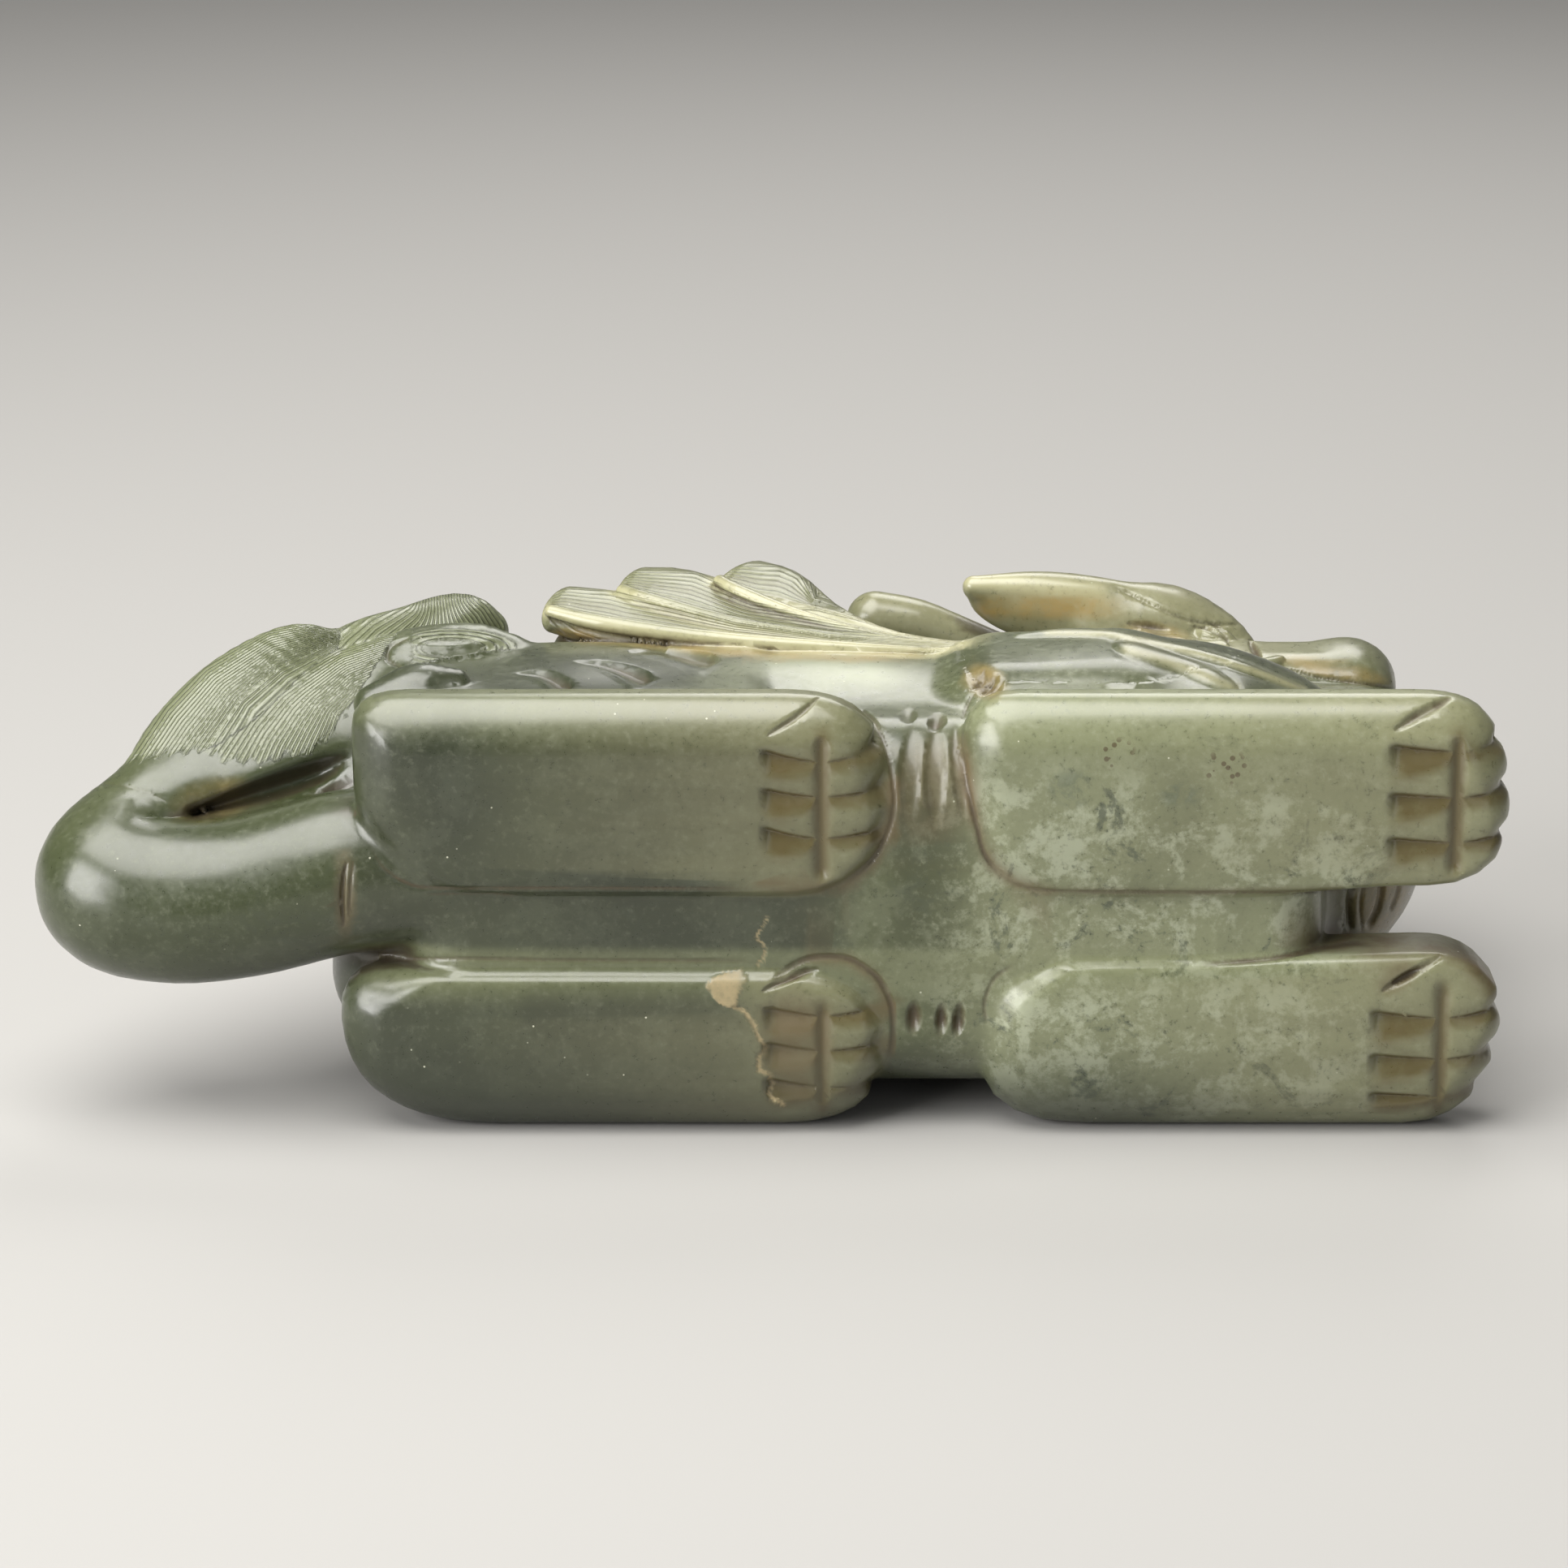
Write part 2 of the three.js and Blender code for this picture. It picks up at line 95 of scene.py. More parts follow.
def catmull(P, n):
    P = np.asarray(P, float)
    if len(P) == 2:
        t = np.linspace(0, 1, n)[:, None]; return P[0] * (1 - t) + P[1] * t
    Q = np.vstack([2 * P[0] - P[1], P, 2 * P[-1] - P[-2]]); out = []; m = len(P) - 1
    for s in np.linspace(0, m, n):
        i = min(int(s), m - 1); t = s - i
        a, b, c, d = Q[i], Q[i + 1], Q[i + 2], Q[i + 3]
        out.append(0.5 * ((2 * b) + (c - a) * t + (2 * a - 5 * b + 4 * c - d) * t * t + (3 * b - a - 3 * c + d) * t ** 3))
    return np.array(out)

def frames(pts, nrm):
    T = np.gradient(pts, axis=0); T /= np.linalg.norm(T, axis=1)[:, None]
    N = np.broadcast_to(np.asarray(nrm, float), pts.shape).copy()
    N = N - (N * T).sum(1)[:, None] * T
    N /= np.linalg.norm(N, axis=1)[:, None] + 1e-9
    return T, np.cross(T, N), N

def sweep(pts, a, b=None, nrm=(0, 0, 1), n=14):
    """tapering round or flattened rod along a smooth path: a = half width, b = half thickness along nrm"""
    pts = np.asarray(pts, float); b = a if b is None else b; k = len(pts)
    a = np.asarray(a, float) * np.ones(k); b = np.asarray(b, float) * np.ones(k)
    Q = catmull(np.hstack([pts, a[:, None], b[:, None]]), n)
    C = Q[:, :3]; A = np.maximum(Q[:, 3], .12); B = np.maximum(Q[:, 4], .12)
    T, S, N = frames(C, nrm)
    m = np.maximum(A, B)
    lo = (C - m[:, None]).min(0).astype(F); hi = (C + m[:, None]).max(0).astype(F)
    C, A, B, S, N = (x.astype(F) for x in (C, A, B, S, N))
    def f(P):
        best = np.full(P.shape[:-1], 1e9, F)
        for i in range(len(C) - 1):
            d = C[i + 1] - C[i]; L = float(d @ d)
            q = P - C[i]
            t = np.clip((q @ d) / L, 0, 1)
            q = q - t[..., None] * d
            aa = A[i] + t * (A[i + 1] - A[i]); bb = B[i] + t * (B[i + 1] - B[i])
            if abs(A[i] - B[i]) < 1e-4 and abs(A[i + 1] - B[i + 1]) < 1e-4:
                dd = np.sqrt((q * q).sum(-1)) - aa
            else:
                s0 = q @ S[i]; s1 = q @ S[i + 1]; n0 = q @ N[i]; n1 = q @ N[i + 1]
                qs = s0 + t * (s1 - s0); qn = n0 + t * (n1 - n0)
                rest = np.maximum((q * q).sum(-1) - qs * qs - qn * qn, 0)
                mm = np.minimum(aa, bb)
                k0 = np.sqrt((qs / aa) ** 2 + (qn / bb) ** 2 + rest / mm ** 2) + 1e-6
                k1 = np.sqrt((qs / aa ** 2) ** 2 + (qn / bb ** 2) ** 2 + rest / mm ** 4) + 1e-6
                dd = k0 * (k0 - 1) / k1
            best = np.minimum(best, dd)
        return best
    return f, lo, hi

def poly2(x, z, poly):
    """signed distance to a polygon in a plane"""
    p = np.asarray(poly, F); n = len(p)
    d = np.full(x.shape, 1e9, F); s = np.ones(x.shape, F)
    for i in range(n):
        j = (i - 1) % n
        ex, ez = p[j][0] - p[i][0], p[j][1] - p[i][1]
        wx, wz = x - p[i][0], z - p[i][1]
        t = np.clip((wx * ex + wz * ez) / (ex * ex + ez * ez), 0, 1)
        bx, bz = wx - ex * t, wz - ez * t
        d = np.minimum(d, bx * bx + bz * bz)
        c1 = z >= p[i][1]; c2 = z < p[j][1]; c3 = ex * wz > ez * wx
        s = np.where((c1 & c2 & c3) | (~c1 & ~c2 & ~c3), -s, s)
    return s * np.sqrt(d)

def rounded(corners, n=5):
    """outline (x, z, r): each corner is cut back by r and turned smoothly"""
    p = np.asarray([c[:2] for c in corners], float); m = len(p); out = []
    for i in range(m):
        a, b, c = p[i - 1], p[i], p[(i + 1) % m]
        u = a - b; lu = np.linalg.norm(u); u /= lu; w = c - b; lw = np.linalg.norm(w); w /= lw
        t = corners[i][2]; A, C = b + u * min(t, .48 * lu), b + w * min(t, .48 * lw)
        k = n if t > 4.5 else 2
        for j in range(k + 1):
            s = j / k; out.append((1 - s) ** 2 * A + 2 * s * (1 - s) * b + s * s * C)
    return out

class Body:
    """solid made of joined and cut shapes, each read only inside its own box"""
    def __init__(self): self.ops = []
    def add(self, prim, k=1.0, pad=2.0): self.ops.append(('add', k, prim[0], prim[1] - k - pad, prim[2] + k + pad))
    def cut(self, prim, k=0.5, pad=1.5): self.ops.append(('cut', k, prim[0], prim[1] - k - pad, prim[2] + k + pad))
    def cap(self, f, lo, hi, k=0.5): self.ops.append(('cap', k, f, np.array(lo, F), np.array(hi, F)))
    def __call__(self, P, far=12.0):
        d = np.full(len(P), far, F)
        for op, k, f, lo, hi in self.ops:
            m = np.nonzero(((P >= lo) & (P <= hi)).all(1))[0]
            if len(m): self.apply(d, m, P[m], op, k, f)
        return d
    def apply(self, d, m, Q, op, k, f):
        g = f(Q).astype(F)
        if op == 'add': d[m] = smin(d[m], g, k)
        elif op == 'cut': d[m] = smax(d[m], -g, k)
        else: d[m] = smax(d[m], g, k)
    def grid(self, lo, hi, h, far=12.0):
        lo = np.array(lo, float); n = np.ceil((np.array(hi) - lo) / h).astype(int) + 1
        ax = [(lo[i] + h * np.arange(n[i])).astype(F) for i in range(3)]
        D = np.full(n, far, F)
        for op, k, f, bl, bh in self.ops:
            s = [slice(int(np.searchsorted(ax[i], bl[i])), int(np.searchsorted(ax[i], bh[i], 'right'))) for i in range(3)]
            if any(t.stop <= t.start for t in s): continue
            step = max(1, int(400000 / max(1, (s[1].stop - s[1].start) * (s[2].stop - s[2].start))))
            for x0 in range(s[0].start, s[0].stop, step):
                sx = slice(x0, min(x0 + step, s[0].stop))
                sub = D[sx, s[1], s[2]]
                m = np.arange(sub.size) if op == 'add' else np.nonzero((np.abs(sub) < 6 + k).ravel())[0]
                if not len(m): continue
                i, j, l = np.unravel_index(m, sub.shape)
                Q = np.stack([ax[0][sx][i], ax[1][s[1]][j], ax[2][s[2]][l]], -1)
                flat = sub.reshape(-1).copy(); self.apply(flat, m, Q, op, k, f)
                D[sx, s[1], s[2]] = flat.reshape(sub.shape)
        return D, lo
    def normal(self, P, e=.12):
        f = self(P)
        g = np.stack([self(P + np.eye(3, dtype=F)[i] * e) - f for i in range(3)], 1) / e
        return f, g
    def settle(self, P, steps=2, most=.6):
        """moves points onto the surface; gives the points and their outward directions"""
        P = P.astype(F)
        for _ in range(steps):
            f, g = self.normal(P)
            P = P - (np.clip(f, -most, most) / np.maximum((g * g).sum(1), .3))[:, None] * g
        return P, (g / (np.linalg.norm(g, axis=1)[:, None] + 1e-9)).astype(F)

def nets(D, lo, h):
    """closed surface of quads through the zero level"""
    S = D < 0
    c = np.zeros(tuple(np.array(D.shape) - 1), np.int8)
    cube = [(a, b, e) for a in (0, 1) for b in (0, 1) for e in (0, 1)]
    for a, b, e in cube: c += S[a:a + c.shape[0], b:b + c.shape[1], e:e + c.shape[2]]
    mixed = (c > 0) & (c < 8); I = np.argwhere(mixed)
    idx = np.full(mixed.shape, -1, np.int32); idx[mixed] = np.arange(len(I), dtype=np.int32)
    val = {t: D[I[:, 0] + t[0], I[:, 1] + t[1], I[:, 2] + t[2]] for t in cube}
    acc = np.zeros((len(I), 3)); cnt = np.zeros(len(I))
    for ax in range(3):
        o = [i for i in range(3) if i != ax]
        for u in (0, 1):
            for w in (0, 1):
                p = [0, 0, 0]; p[o[0]] = u; p[o[1]] = w; q = list(p); q[ax] = 1
                v0, v1 = val[tuple(p)], val[tuple(q)]
                m = (v0 < 0) != (v1 < 0)
                t = np.where(m, v0 / np.where(m, v0 - v1, 1), 0)
                pos = np.array(p, float)[None, :] + t[:, None] * np.eye(3)[ax][None, :]
                acc[m] += pos[m]; cnt[m] += 1
    X = (I + acc / cnt[:, None]) * h + lo
    quads = []
    for ax in range(3):
        o = [(1, 2), (2, 0), (0, 1)][ax]
        s0 = [slice(None)] * 3; s1 = [slice(None)] * 3
        s0[ax] = slice(0, -1); s1[ax] = slice(1, None)
        for t in o: s0[t] = s1[t] = slice(1, -1)
        A, B = S[tuple(s0)], S[tuple(s1)]
        for sign in (0, 1):
            E = np.argwhere((A & ~B) if sign == 0 else (~A & B))
            if not len(E): continue
            base = E.copy(); base[:, o[0]] += 1; base[:, o[1]] += 1
            def cell(du, dv):
                b = base.copy(); b[:, o[0]] -= du; b[:, o[1]] -= dv
                return idx[b[:, 0], b[:, 1], b[:, 2]]
            q = np.stack([cell(1, 1), cell(0, 1), cell(0, 0), cell(1, 0)], 1)
            quads.append(q[:, ::-1] if sign else q)
    Q = np.vstack(quads)
    return X, np.vstack([Q[:, [0, 1, 2]], Q[:, [0, 2, 3]]])

def refine(X, T, wanted):
    """splits every edge that wanted() marks; triangles stay joined edge to edge"""
    E = np.sort(np.vstack([T[:, [0, 1]], T[:, [1, 2]], T[:, [2, 0]]]), 1).astype(np.int64)
    u, first, inv = np.unique(E[:, 0] * len(X) + E[:, 1], return_index=True, return_inverse=True)
    e = E[first]; mark = wanted(e)
    new = np.full(len(e), -1, np.int64); new[mark] = len(X) + np.arange(int(mark.sum()))
    mid = (X[e[mark, 0]] + X[e[mark, 1]]) / 2
    n = new[inv.ravel()].reshape(3, -1).T
    code = (n >= 0) @ np.array([1, 2, 4])
    out = [T[code == 0]]
    for c, r in ((1, 0), (2, 1), (4, 2)):                     # one edge marked
        m = code == c; t = np.roll(T[m], -r, 1); k = np.roll(n[m], -r, 1)
        a, b, d = t.T; p = k[:, 0]; out += [np.stack([a, p, d], 1), np.stack([p, b, d], 1)]
    for c, r in ((3, 0), (6, 1), (5, 2)):                     # two edges marked
        m = code == c; t = np.roll(T[m], -r, 1); k = np.roll(n[m], -r, 1)
        a, b, d = t.T; p, q = k[:, 0], k[:, 1]
        out += [np.stack([p, b, q], 1), np.stack([a, p, q], 1), np.stack([a, q, d], 1)]
    m = code == 7; a, b, d = T[m].T; p, q, r = n[m].T
    out += [np.stack([a, p, r], 1), np.stack([p, b, q], 1), np.stack([r, q, d], 1), np.stack([p, q, r], 1)]
    return mid, np.vstack(out).astype(np.int64)

# ------------------------------------------------------------------ the beast
def flip(p):
    p = np.array(p, float); p[..., 2] = 2 * MID - p[..., 2]; return p

# lower legs seen on their soles: outline (x, z, corner cut), edge radius towards the channel and towards the flank,
# then the paw: x of the toes' rear end, of the cross groove, of the front, the flank and channel heights, and for
# each groove between two toes its height at the rear, at the cross groove and at the front, and its width behind
LEGS = {
    'right_hind': dict(corners=[(-59.6, 63.9, 8), (6, 63.9, 6), (13.2, 59.6, 4), (14.7, 52, 4), (14.9, 46, 4), (11.5, 40.5, 4), (5, 36, 4), (-44, 36, 9), (-54.5, 39.5, 6), (-59.4, 47, 6), (-59.6, 54, 3)],
        inner=1.9, outer=9.0, up=True, paw=(-3.4, 5.2, 14.6, 63.9, 36.4, [(57.2, 55.6, 57.6, 2.6), (51.6, 50.6, 51.6, 3.0), (46.2, 44.6, 45.8, 3.0)])),
    'left_hind': dict(corners=[(-62.6, 24.6, 9), (5, 24.6, 6), (13, 20, 4), (14.9, 13.5, 4), (13.5, 7.6, 4), (10.5, 3.4, 4), (4, 1.0, 4), (-50, 1.0, 10), (-61.4, 8.6, 9)],
        inner=1.9, outer=9.0, up=False, paw=(-3.0, 5.5, 14.6, 24.6, 1.0, [(19.6, 18.7, 19.8, 3.4), (14.4, 13.6, 14.4, 3.2), (9.2, 8.2, 7.8, 3.2)])),
    'right_fore': dict(corners=[(24.4, 63.9, 8), (93, 63.9, 6), (98.6, 59.6, 4), (100.1, 53, 4), (100.4, 47, 4), (98.8, 41, 4), (93, 37.3, 4), (84, 37.3, 4), (66, 35.8, 4), (24.4, 35.8, 15)],
        inner=1.9, outer=9.0, up=True, paw=(82.7, 92.4, 100.2, 63.9, 37.3, [(57.7, 57.0, 57.8, 3.6), (50.8, 50.5, 51.6, 3.2), (44.4, 44.0, 45.2, 2.8)])),
    'left_fore': dict(corners=[(27, 26, 10), (93.5, 27.6, 5), (99.9, 22.6, 4), (100.3, 16.5, 4), (99.4, 10.5, 4), (97, 5.2, 4), (91, 1.0, 4), (27, 1.0, 15)],
        inner=1.9, outer=9.0, up=False, paw=(81.3, 91.5, 99.8, 27.5, 1.0, [(19.2, 18.4, 19.6, 3.6), (12.8, 12.4, 13.4, 3.2), (7.0, 6.8, 8.4, 2.6)])),
}

WEDGES = []                                 # the areas between the toes, for their colour

def leg(corners, inner, outer, up, paw):
    ip = rounded(corners); p = np.asarray(ip, float)
    z0, z1, x0 = p[:, 1].min(), p[:, 1].max(), p[:, 0].min()
    yc = hy = LEG / 2; zm, hz = (z0 + z1) / 2, (z1 - z0) / 2
    xl, xv, xr, zt, zb, lines = paw
    def toes(x, z, colour=False):
        """how far the toe cuts go in from the sole"""
        fr = np.clip((x - xv) / (xr - xv), 0, 1.4); re = np.clip((xv - x) / (xv - xl), 0, 1)
        on = smooth(xl - .5, xl + 1.6, x); h = np.zeros(x.shape, F); soft = np.zeros(x.shape, F); tint = np.zeros(x.shape, F)
        for a, m, c, wd in lines:
            zc = np.where(x < xv, m + (a - m) * re ** 2, m + (c - m) * np.minimum(fr, 1) ** 1.6)
            D = .7 + .8 * re + 1.5 * fr ** 2
            w = 1.4 + (wd - .3) * re ** .8 + .9 * fr ** 1.5
            wu = .75 + .35 * re + .7 * fr ** 2
            u = zc - z
            h = np.maximum(h, on * D * np.where(u > 0, np.clip(1 - u / w, 0, 1), np.clip(1 + u / wu, 0, 1)))
            tint = np.maximum(tint, smooth(xl - .8, xl + 3.2, x) * np.where(u > 0, np.clip(1.25 - (u / (1.15 * w)) ** 2, 0, 1), np.clip(1 + u / wu, 0, 1)) * (.62 + .38 * re))
            soft = soft + .5 * np.exp(-(u / 2.1) ** 2)
        soft = soft * smooth(xl - .5, xl + 2, x)
        t = np.exp(-((x - xv) / 1.1) ** 2)
        fade = smooth(zt - 2.2, zt - 6.0, z) * smooth(zb + .6, zb + 4.0, z)
        if colour: return np.maximum(tint, .85 * t * fade)
        return smax(np.maximum(h, (.75 * t + .3 * np.exp(-((x - xv) / 2.4) ** 2)) * fade), soft, .3)
    def notch(x, z):
        g = np.zeros(x.shape, F); t = np.clip((x - xv - .5) / (xr - xv - 2.0), 0, 1)
        for a, m, c, wd in lines:
            g = np.maximum(g, np.exp(-np.abs((m + (c - m) * t ** 1.6 - z) / 1.25) ** 1.6))
        return 1.15 * g * t * t
    def pillow(x, z):
        """the polished sole falls away a little towards its edges"""
        return 1.1 * np.abs((z - zm) / hz) ** 2.3 + .9 * np.clip(1 - (x - x0) / 17, 0, 1) ** 2 + .35 * np.clip((x - xv) / (xr - xv), 0, 1) ** 2
    lo = v(p[:, 0].min(), -.2, z0); hi = v(p[:, 0].max(), LEG, z1)
    def f(P):
        x, y, z = P[..., 0], P[..., 1], P[..., 2]
        d2 = poly2(x, z, ip)
        t = np.clip((z - z0) / (z1 - z0), 0, 1); t = t * t * (3 - 2 * t)
        wide = inner + (outer - inner) * (t if up else 1 - t)
        heel = smooth(14, 3, x - x0)
        wide = wide + (np.maximum(wide, 8.0) - wide) * heel
        re = np.minimum(wide, 5.4); wide = np.where(y < yc, wide, re)     # the edge turns wider on the sole than it is deep
        low = pillow(x, z)
        a = (d2 + wide) * (re / wide); c = np.where(y < yc, yc - y - hy + low, y - yc - hy) + re
        d = np.minimum(np.maximum(a, c), 0) + np.sqrt(np.maximum(a, 0) ** 2 + np.maximum(c, 0) ** 2) - re
        return smax(d + notch(x, z), toes(x, z) + low - y, .3)
    WEDGES.append((lo, hi, toes))
    return f, lo, hi

HAIR = (-.25, -.6, .75)                     # the way the locks' broad faces look
TAIL = sweep([(-50, 14, 36.2), (-62, 12.5, 36.0), (-75, 12, 32.8), (-86, 12.5, 31.8), (-93.8, 14.5, 33.5), (-92.0, 20, 38.3), (-85, 24.5, 42.5)],
    [11.6, 11.5, 11.4, 11.6, 11.5, 9.2, 8], n=30)
SLOT = sweep([(-83.0, 16, 43.6), (-77.0, 16, 45.6), (-71.2, 16, 47.4), (-66.0, 16, 49.3), (-62.4, 16, 51.2)], [.5, 1.4, 2.1, 2.3, 1.5], [3, 4.5, 6, 7.5, 6], (0, .956, -.292), 12)
LOCKS = dict(
    outer=sweep([(-88.8, 22.5, 43.2), (-83.4, 28, 48.6), (-76.4, 34.5, 54.2), (-70.2, 40.5, 58.3), (-65.5, 43.5, 59.4)], [6.5, 9, 9.4, 6.8, 3.0], [6, 6.5, 6.5, 5.4, 3.2], HAIR, 20),
    upper=sweep([(-74, 33, 50), (-63, 43.5, 57.0), (-54, 50, 59.0), (-47.6, 54, 60.0), (-44, 55.3, 59.2)], [5, 6.2, 6, 5.5, 3.6], [5, 5.2, 5, 5, 3.6], HAIR, 20),
    front=sweep([(-84, 21, 44.6), (-74, 25, 47.5), (-64, 31, 53), (-54, 37, 58.5), (-45, 40, 60.5), (-40, 41, 60.2)], [5.0, 8.5, 9.5, 6.5, 4.5, 2.6], [5, 6, 6, 5, 3.6, 2.6], HAIR, 20),
    small=sweep([(-57.5, 19, 58.5), (-51.5, 21, 60.6), (-46, 22, 61.0)], [3.0, 3.9, 2.2], [2.8, 3.0, 1.8], (0, -.3, 1), 10),
)
WING = [
    ([(29, 41, 59.6), (12, 42.4, 59.6), (-8, 47.1, 60.6), (-24, 51.3, 62.1), (-32.3, 53.6, 63.0)], [1.0, 3.4, 6.2, 7.4, 6.2], [1.0, 2.2, 2.6, 2.8, 2.6]),
    ([(29, 41.5, 59.8), (12, 45.6, 59.6), (-3.5, 52, 61.2), (-16, 58.2, 63.6), (-21.6, 60.3, 64.2)], [1.0, 3.4, 6.7, 8.0, 6.2], [1.0, 2.2, 2.8, 2.8, 2.6]),
    ([(29, 42, 59.8), (15.5, 46, 59.8), (5.5, 52.4, 61.1), (-2.2, 59.5, 63.8), (-6.0, 62.4, 64.8)], [.9, 2.4, 4.8, 7.2, 6.4], [.9, 2.0, 2.8, 2.8, 2.6]),
]
WINGS = []

def beast():
    b = Body()
    # trunk, haunches, shoulders
    b.add(rbox((8, 26, MID), (62, 23.4, 26.5), 11), 1)
    b.add(rbox((40, 20, MID), (35.5, 17.4, 13), 8.5), 1.5)
    b.add(ell((-53, 22, 19), (11.5, 12, 12)), 3)
    b.add(ell((5, 36, MID), (60, 26, 28)), 6)
    b.add(ell((-58, 34, 45), (12, 14, 14)), 3)
    for s in (1, -1):
        b.add(rbox((-29.5, 28, MID + s * 17 - .8), (29.5, 19, 12.8), 6.5), 1.5)
        b.add(ell((-29, 33, MID + s * 14), (29, 24, 15.4)), 3)
        b.add(ell((51, 34, MID + s * 13), (33, 25, 18)), 5)
        b.add(rbox((39, 33, MID + s * 15.6), (17, 16, 15.4), 9), 4)
    b.add(ell((-48, 30, MID), (14, 20, 22)), 5)
    # neck, chest and throat
    b.add(ell((60, 52, MID), (30, 24, 23)), 6)
    b.add(ell((72, 38, MID), (20.4, 24, 18.5)), 5)
    # spine knobs
    for i in range(6):
        x = 21 - 12 * i
        b.add(ell((x, 36 + 26 * math.sqrt(1 - ((x - 5) / 60) ** 2) - .2, MID), (4.6, 2.5, 3.4)), 1.0)
    # head, muzzle, jaw
    b.add(ell((55, 74, MID), (27, 15, 21.5)), 4)
    b.add(rbox((78, 73, MID), (14, 9.4, 19.9), 7), 4)
    b.add(rbox((77, 61, MID), (14, 6, 17), 5), 1.2)
    for L in LEGS.values(): b.add(leg(**L), 1.0)
    # tail and its locks of hair
    b.add(TAIL, 2)
    for name, k in (('outer', 2.5), ('upper', 1.5), ('front', 2.5), ('small', 1.0)): b.add(LOCKS[name], k)
    b.cut(SLOT, 1.4)
    # wings: three feathers, each with a raised shaft on its lower edge
    for s in (1, -1):
        face = (0, -.18, s * 1.0)
        for pts, a, bb in WING:
            p = np.array(pts) if s > 0 else flip(pts) + np.array([0, 0, 1.8])
            b.add(sweep(p, a, bb, face, 14), .6)
            _, S, N = frames(p, face)
            low = p - S * np.sign(S[:, 1:2]) * (np.array(a) - .7)[:, None] + N * (np.array(bb) - .35)[:, None]
            b.add(sweep(low, [.5, .95, 1.15, 1.25, 1.05], n=14), .7)
        b.add(sweep([(24, 42, MID + s * 22), (0, 46.5, MID + s * 21.8), (-20, 50, MID + s * 23), (-30.6, 51.8, MID + s * 25)], [6, 8, 6.4, 4.2], [5, 5.5, 4.6, 3.4], (0, 0, s), 12), 1.2)
    for s in (1, -1):
        z = lambda d: MID + s * d
        b.add(sweep([(52, 84, z(10)), (38, 86, z(13)), (31.8, 86.5, z(15.2)), (26, 87, z(17.3)), (20, 87.3, z(19.3)), (14, 87.5, z(20.2))], [4, 3.6, 3.6, 3.9, 4.3, 4.5], n=16), 1.5)      # horn
        b.add(ell((44.6, 83.2, z(22.6)), (16.6, 4.9, 5.8), turned(0, s * 9, 0)), 1.2)                                                        # ear
        b.add(sweep([(55, 82.8, z(24.6)), (47, 82.2, z(26)), (38, 81.8, z(26.9)), (28.8, 81.9, z(27.0))], [2.0, 1.9, 1.8, 1.7], n=12), 1.8)
        b.add(sweep([(47, 82, z(21)), (57, 83.5, z(21.5)), (65, 83, z(18.5)), (70.5, 81, z(15))], [5, 6.5, 5.5, 3], [4.6, 5.2, 4.6, 3], (0, -.3, s), 14), 1.5)     # brow
        b.add(ell((85, 75, z(14.4)), (7, 8, 5.9)), 2)                                                                                                          # nostril wing
        b.add(ell((65, 78, z(19.2)), (3.6, 2.2, 2.4)), .5)                                                                                                     # eye
    b.add(sweep([(58, 87.6, MID), (70, 85.4, MID), (82, 83.4, MID), (88, 81.2, MID)], [2.4, 2.8, 3.6, 4.2], n=12), 2.0)
    b.add(ell((53, 88.2, MID), (5.2, 2.8, 4.4)), 1.0)
    for s in (1, -1):
        z = lambda d: MID + s * d
        b.add(sweep([(70, 83.4, z(15)), (66.5, 86.0, z(10)), (61, 88.2, z(5.4)), (56, 88.9, z(4.6))], [2.6, 2.4, 1.9, 1.3], n=12), 1.0)
        b.add(ell((87.4, 80.4, z(8.8)), (4.8, 3.6, 4.8)), 1.4)
        b.cut(ell((91.9, 78.6, z(8.8)), (2.1, 1.7, 2.0)), .5)
    for o in (-7.2, 0, 7.2):
        b.add(sweep([(46, 86.4, MID + o), (36, 85.4, MID + o), (29.6, 80, MID + 1.1 * o), (27.8, 72.5, MID + 1.15 * o), (29, 65.5, MID + 1.15 * o), (24.5, 61.4, MID + 1.1 * o)], [3.4, 4.2, 4.4, 4.2, 3.6, 1.6], n=18), .8)
    # ground flat on the left flank
    b.cap(lambda P: GROUND - P[..., 2], (-200, -50, -20), (200, 200, 5), .3)
    return b
LOW = (-110, -3, -3); HIGH = (104, 96, 71)

# ------------------------------------------------------------------ where a point stands in the measured view
TILT = math.radians(17.0); FOCAL = 6300.0; AWAY = 669.413; ABOVE = 257.393
ct, st = math.cos(TILT), math.sin(TILT)
def seen(P):
    """view coordinates of the 1932 frame, and mm per unit there"""
    ry, rz = P[:, 1] + AWAY, P[:, 2] - ABOVE
    yc = ry * st + rz * ct; zc = ry * ct - rz * st
    return np.stack([966 + FOCAL * P[:, 0] / zc, 966 - FOCAL * yc / zc], -1).astype(F), (zc / FOCAL).astype(F)

def along(q, pts):
    """distance to a polyline, how far along it (0 to 1), and the side (+ is to the right going along it)"""
    p = np.asarray(pts, F); L = np.linalg.norm(np.diff(p, axis=0), axis=1); S = np.concatenate([[0], np.cumsum(L)])
    best = np.full(len(q), 1e12, F); t_at = np.zeros(len(q), F); side = np.zeros(len(q), F)
    for i in range(len(p) - 1):
        d = (p[i + 1] - p[i]) / L[i]; w = q - p[i]
        t = np.clip(w @ d, 0, L[i]); r = w - t[:, None] * d
        k = (r * r).sum(1); m = k < best
        best[m] = k[m]; t_at[m] = (S[i] + t[m]) / S[-1]; side[m] = (w[m, 0] * -d[1] + w[m, 1] * d[0])
    return np.sqrt(best), t_at, np.sign(side)

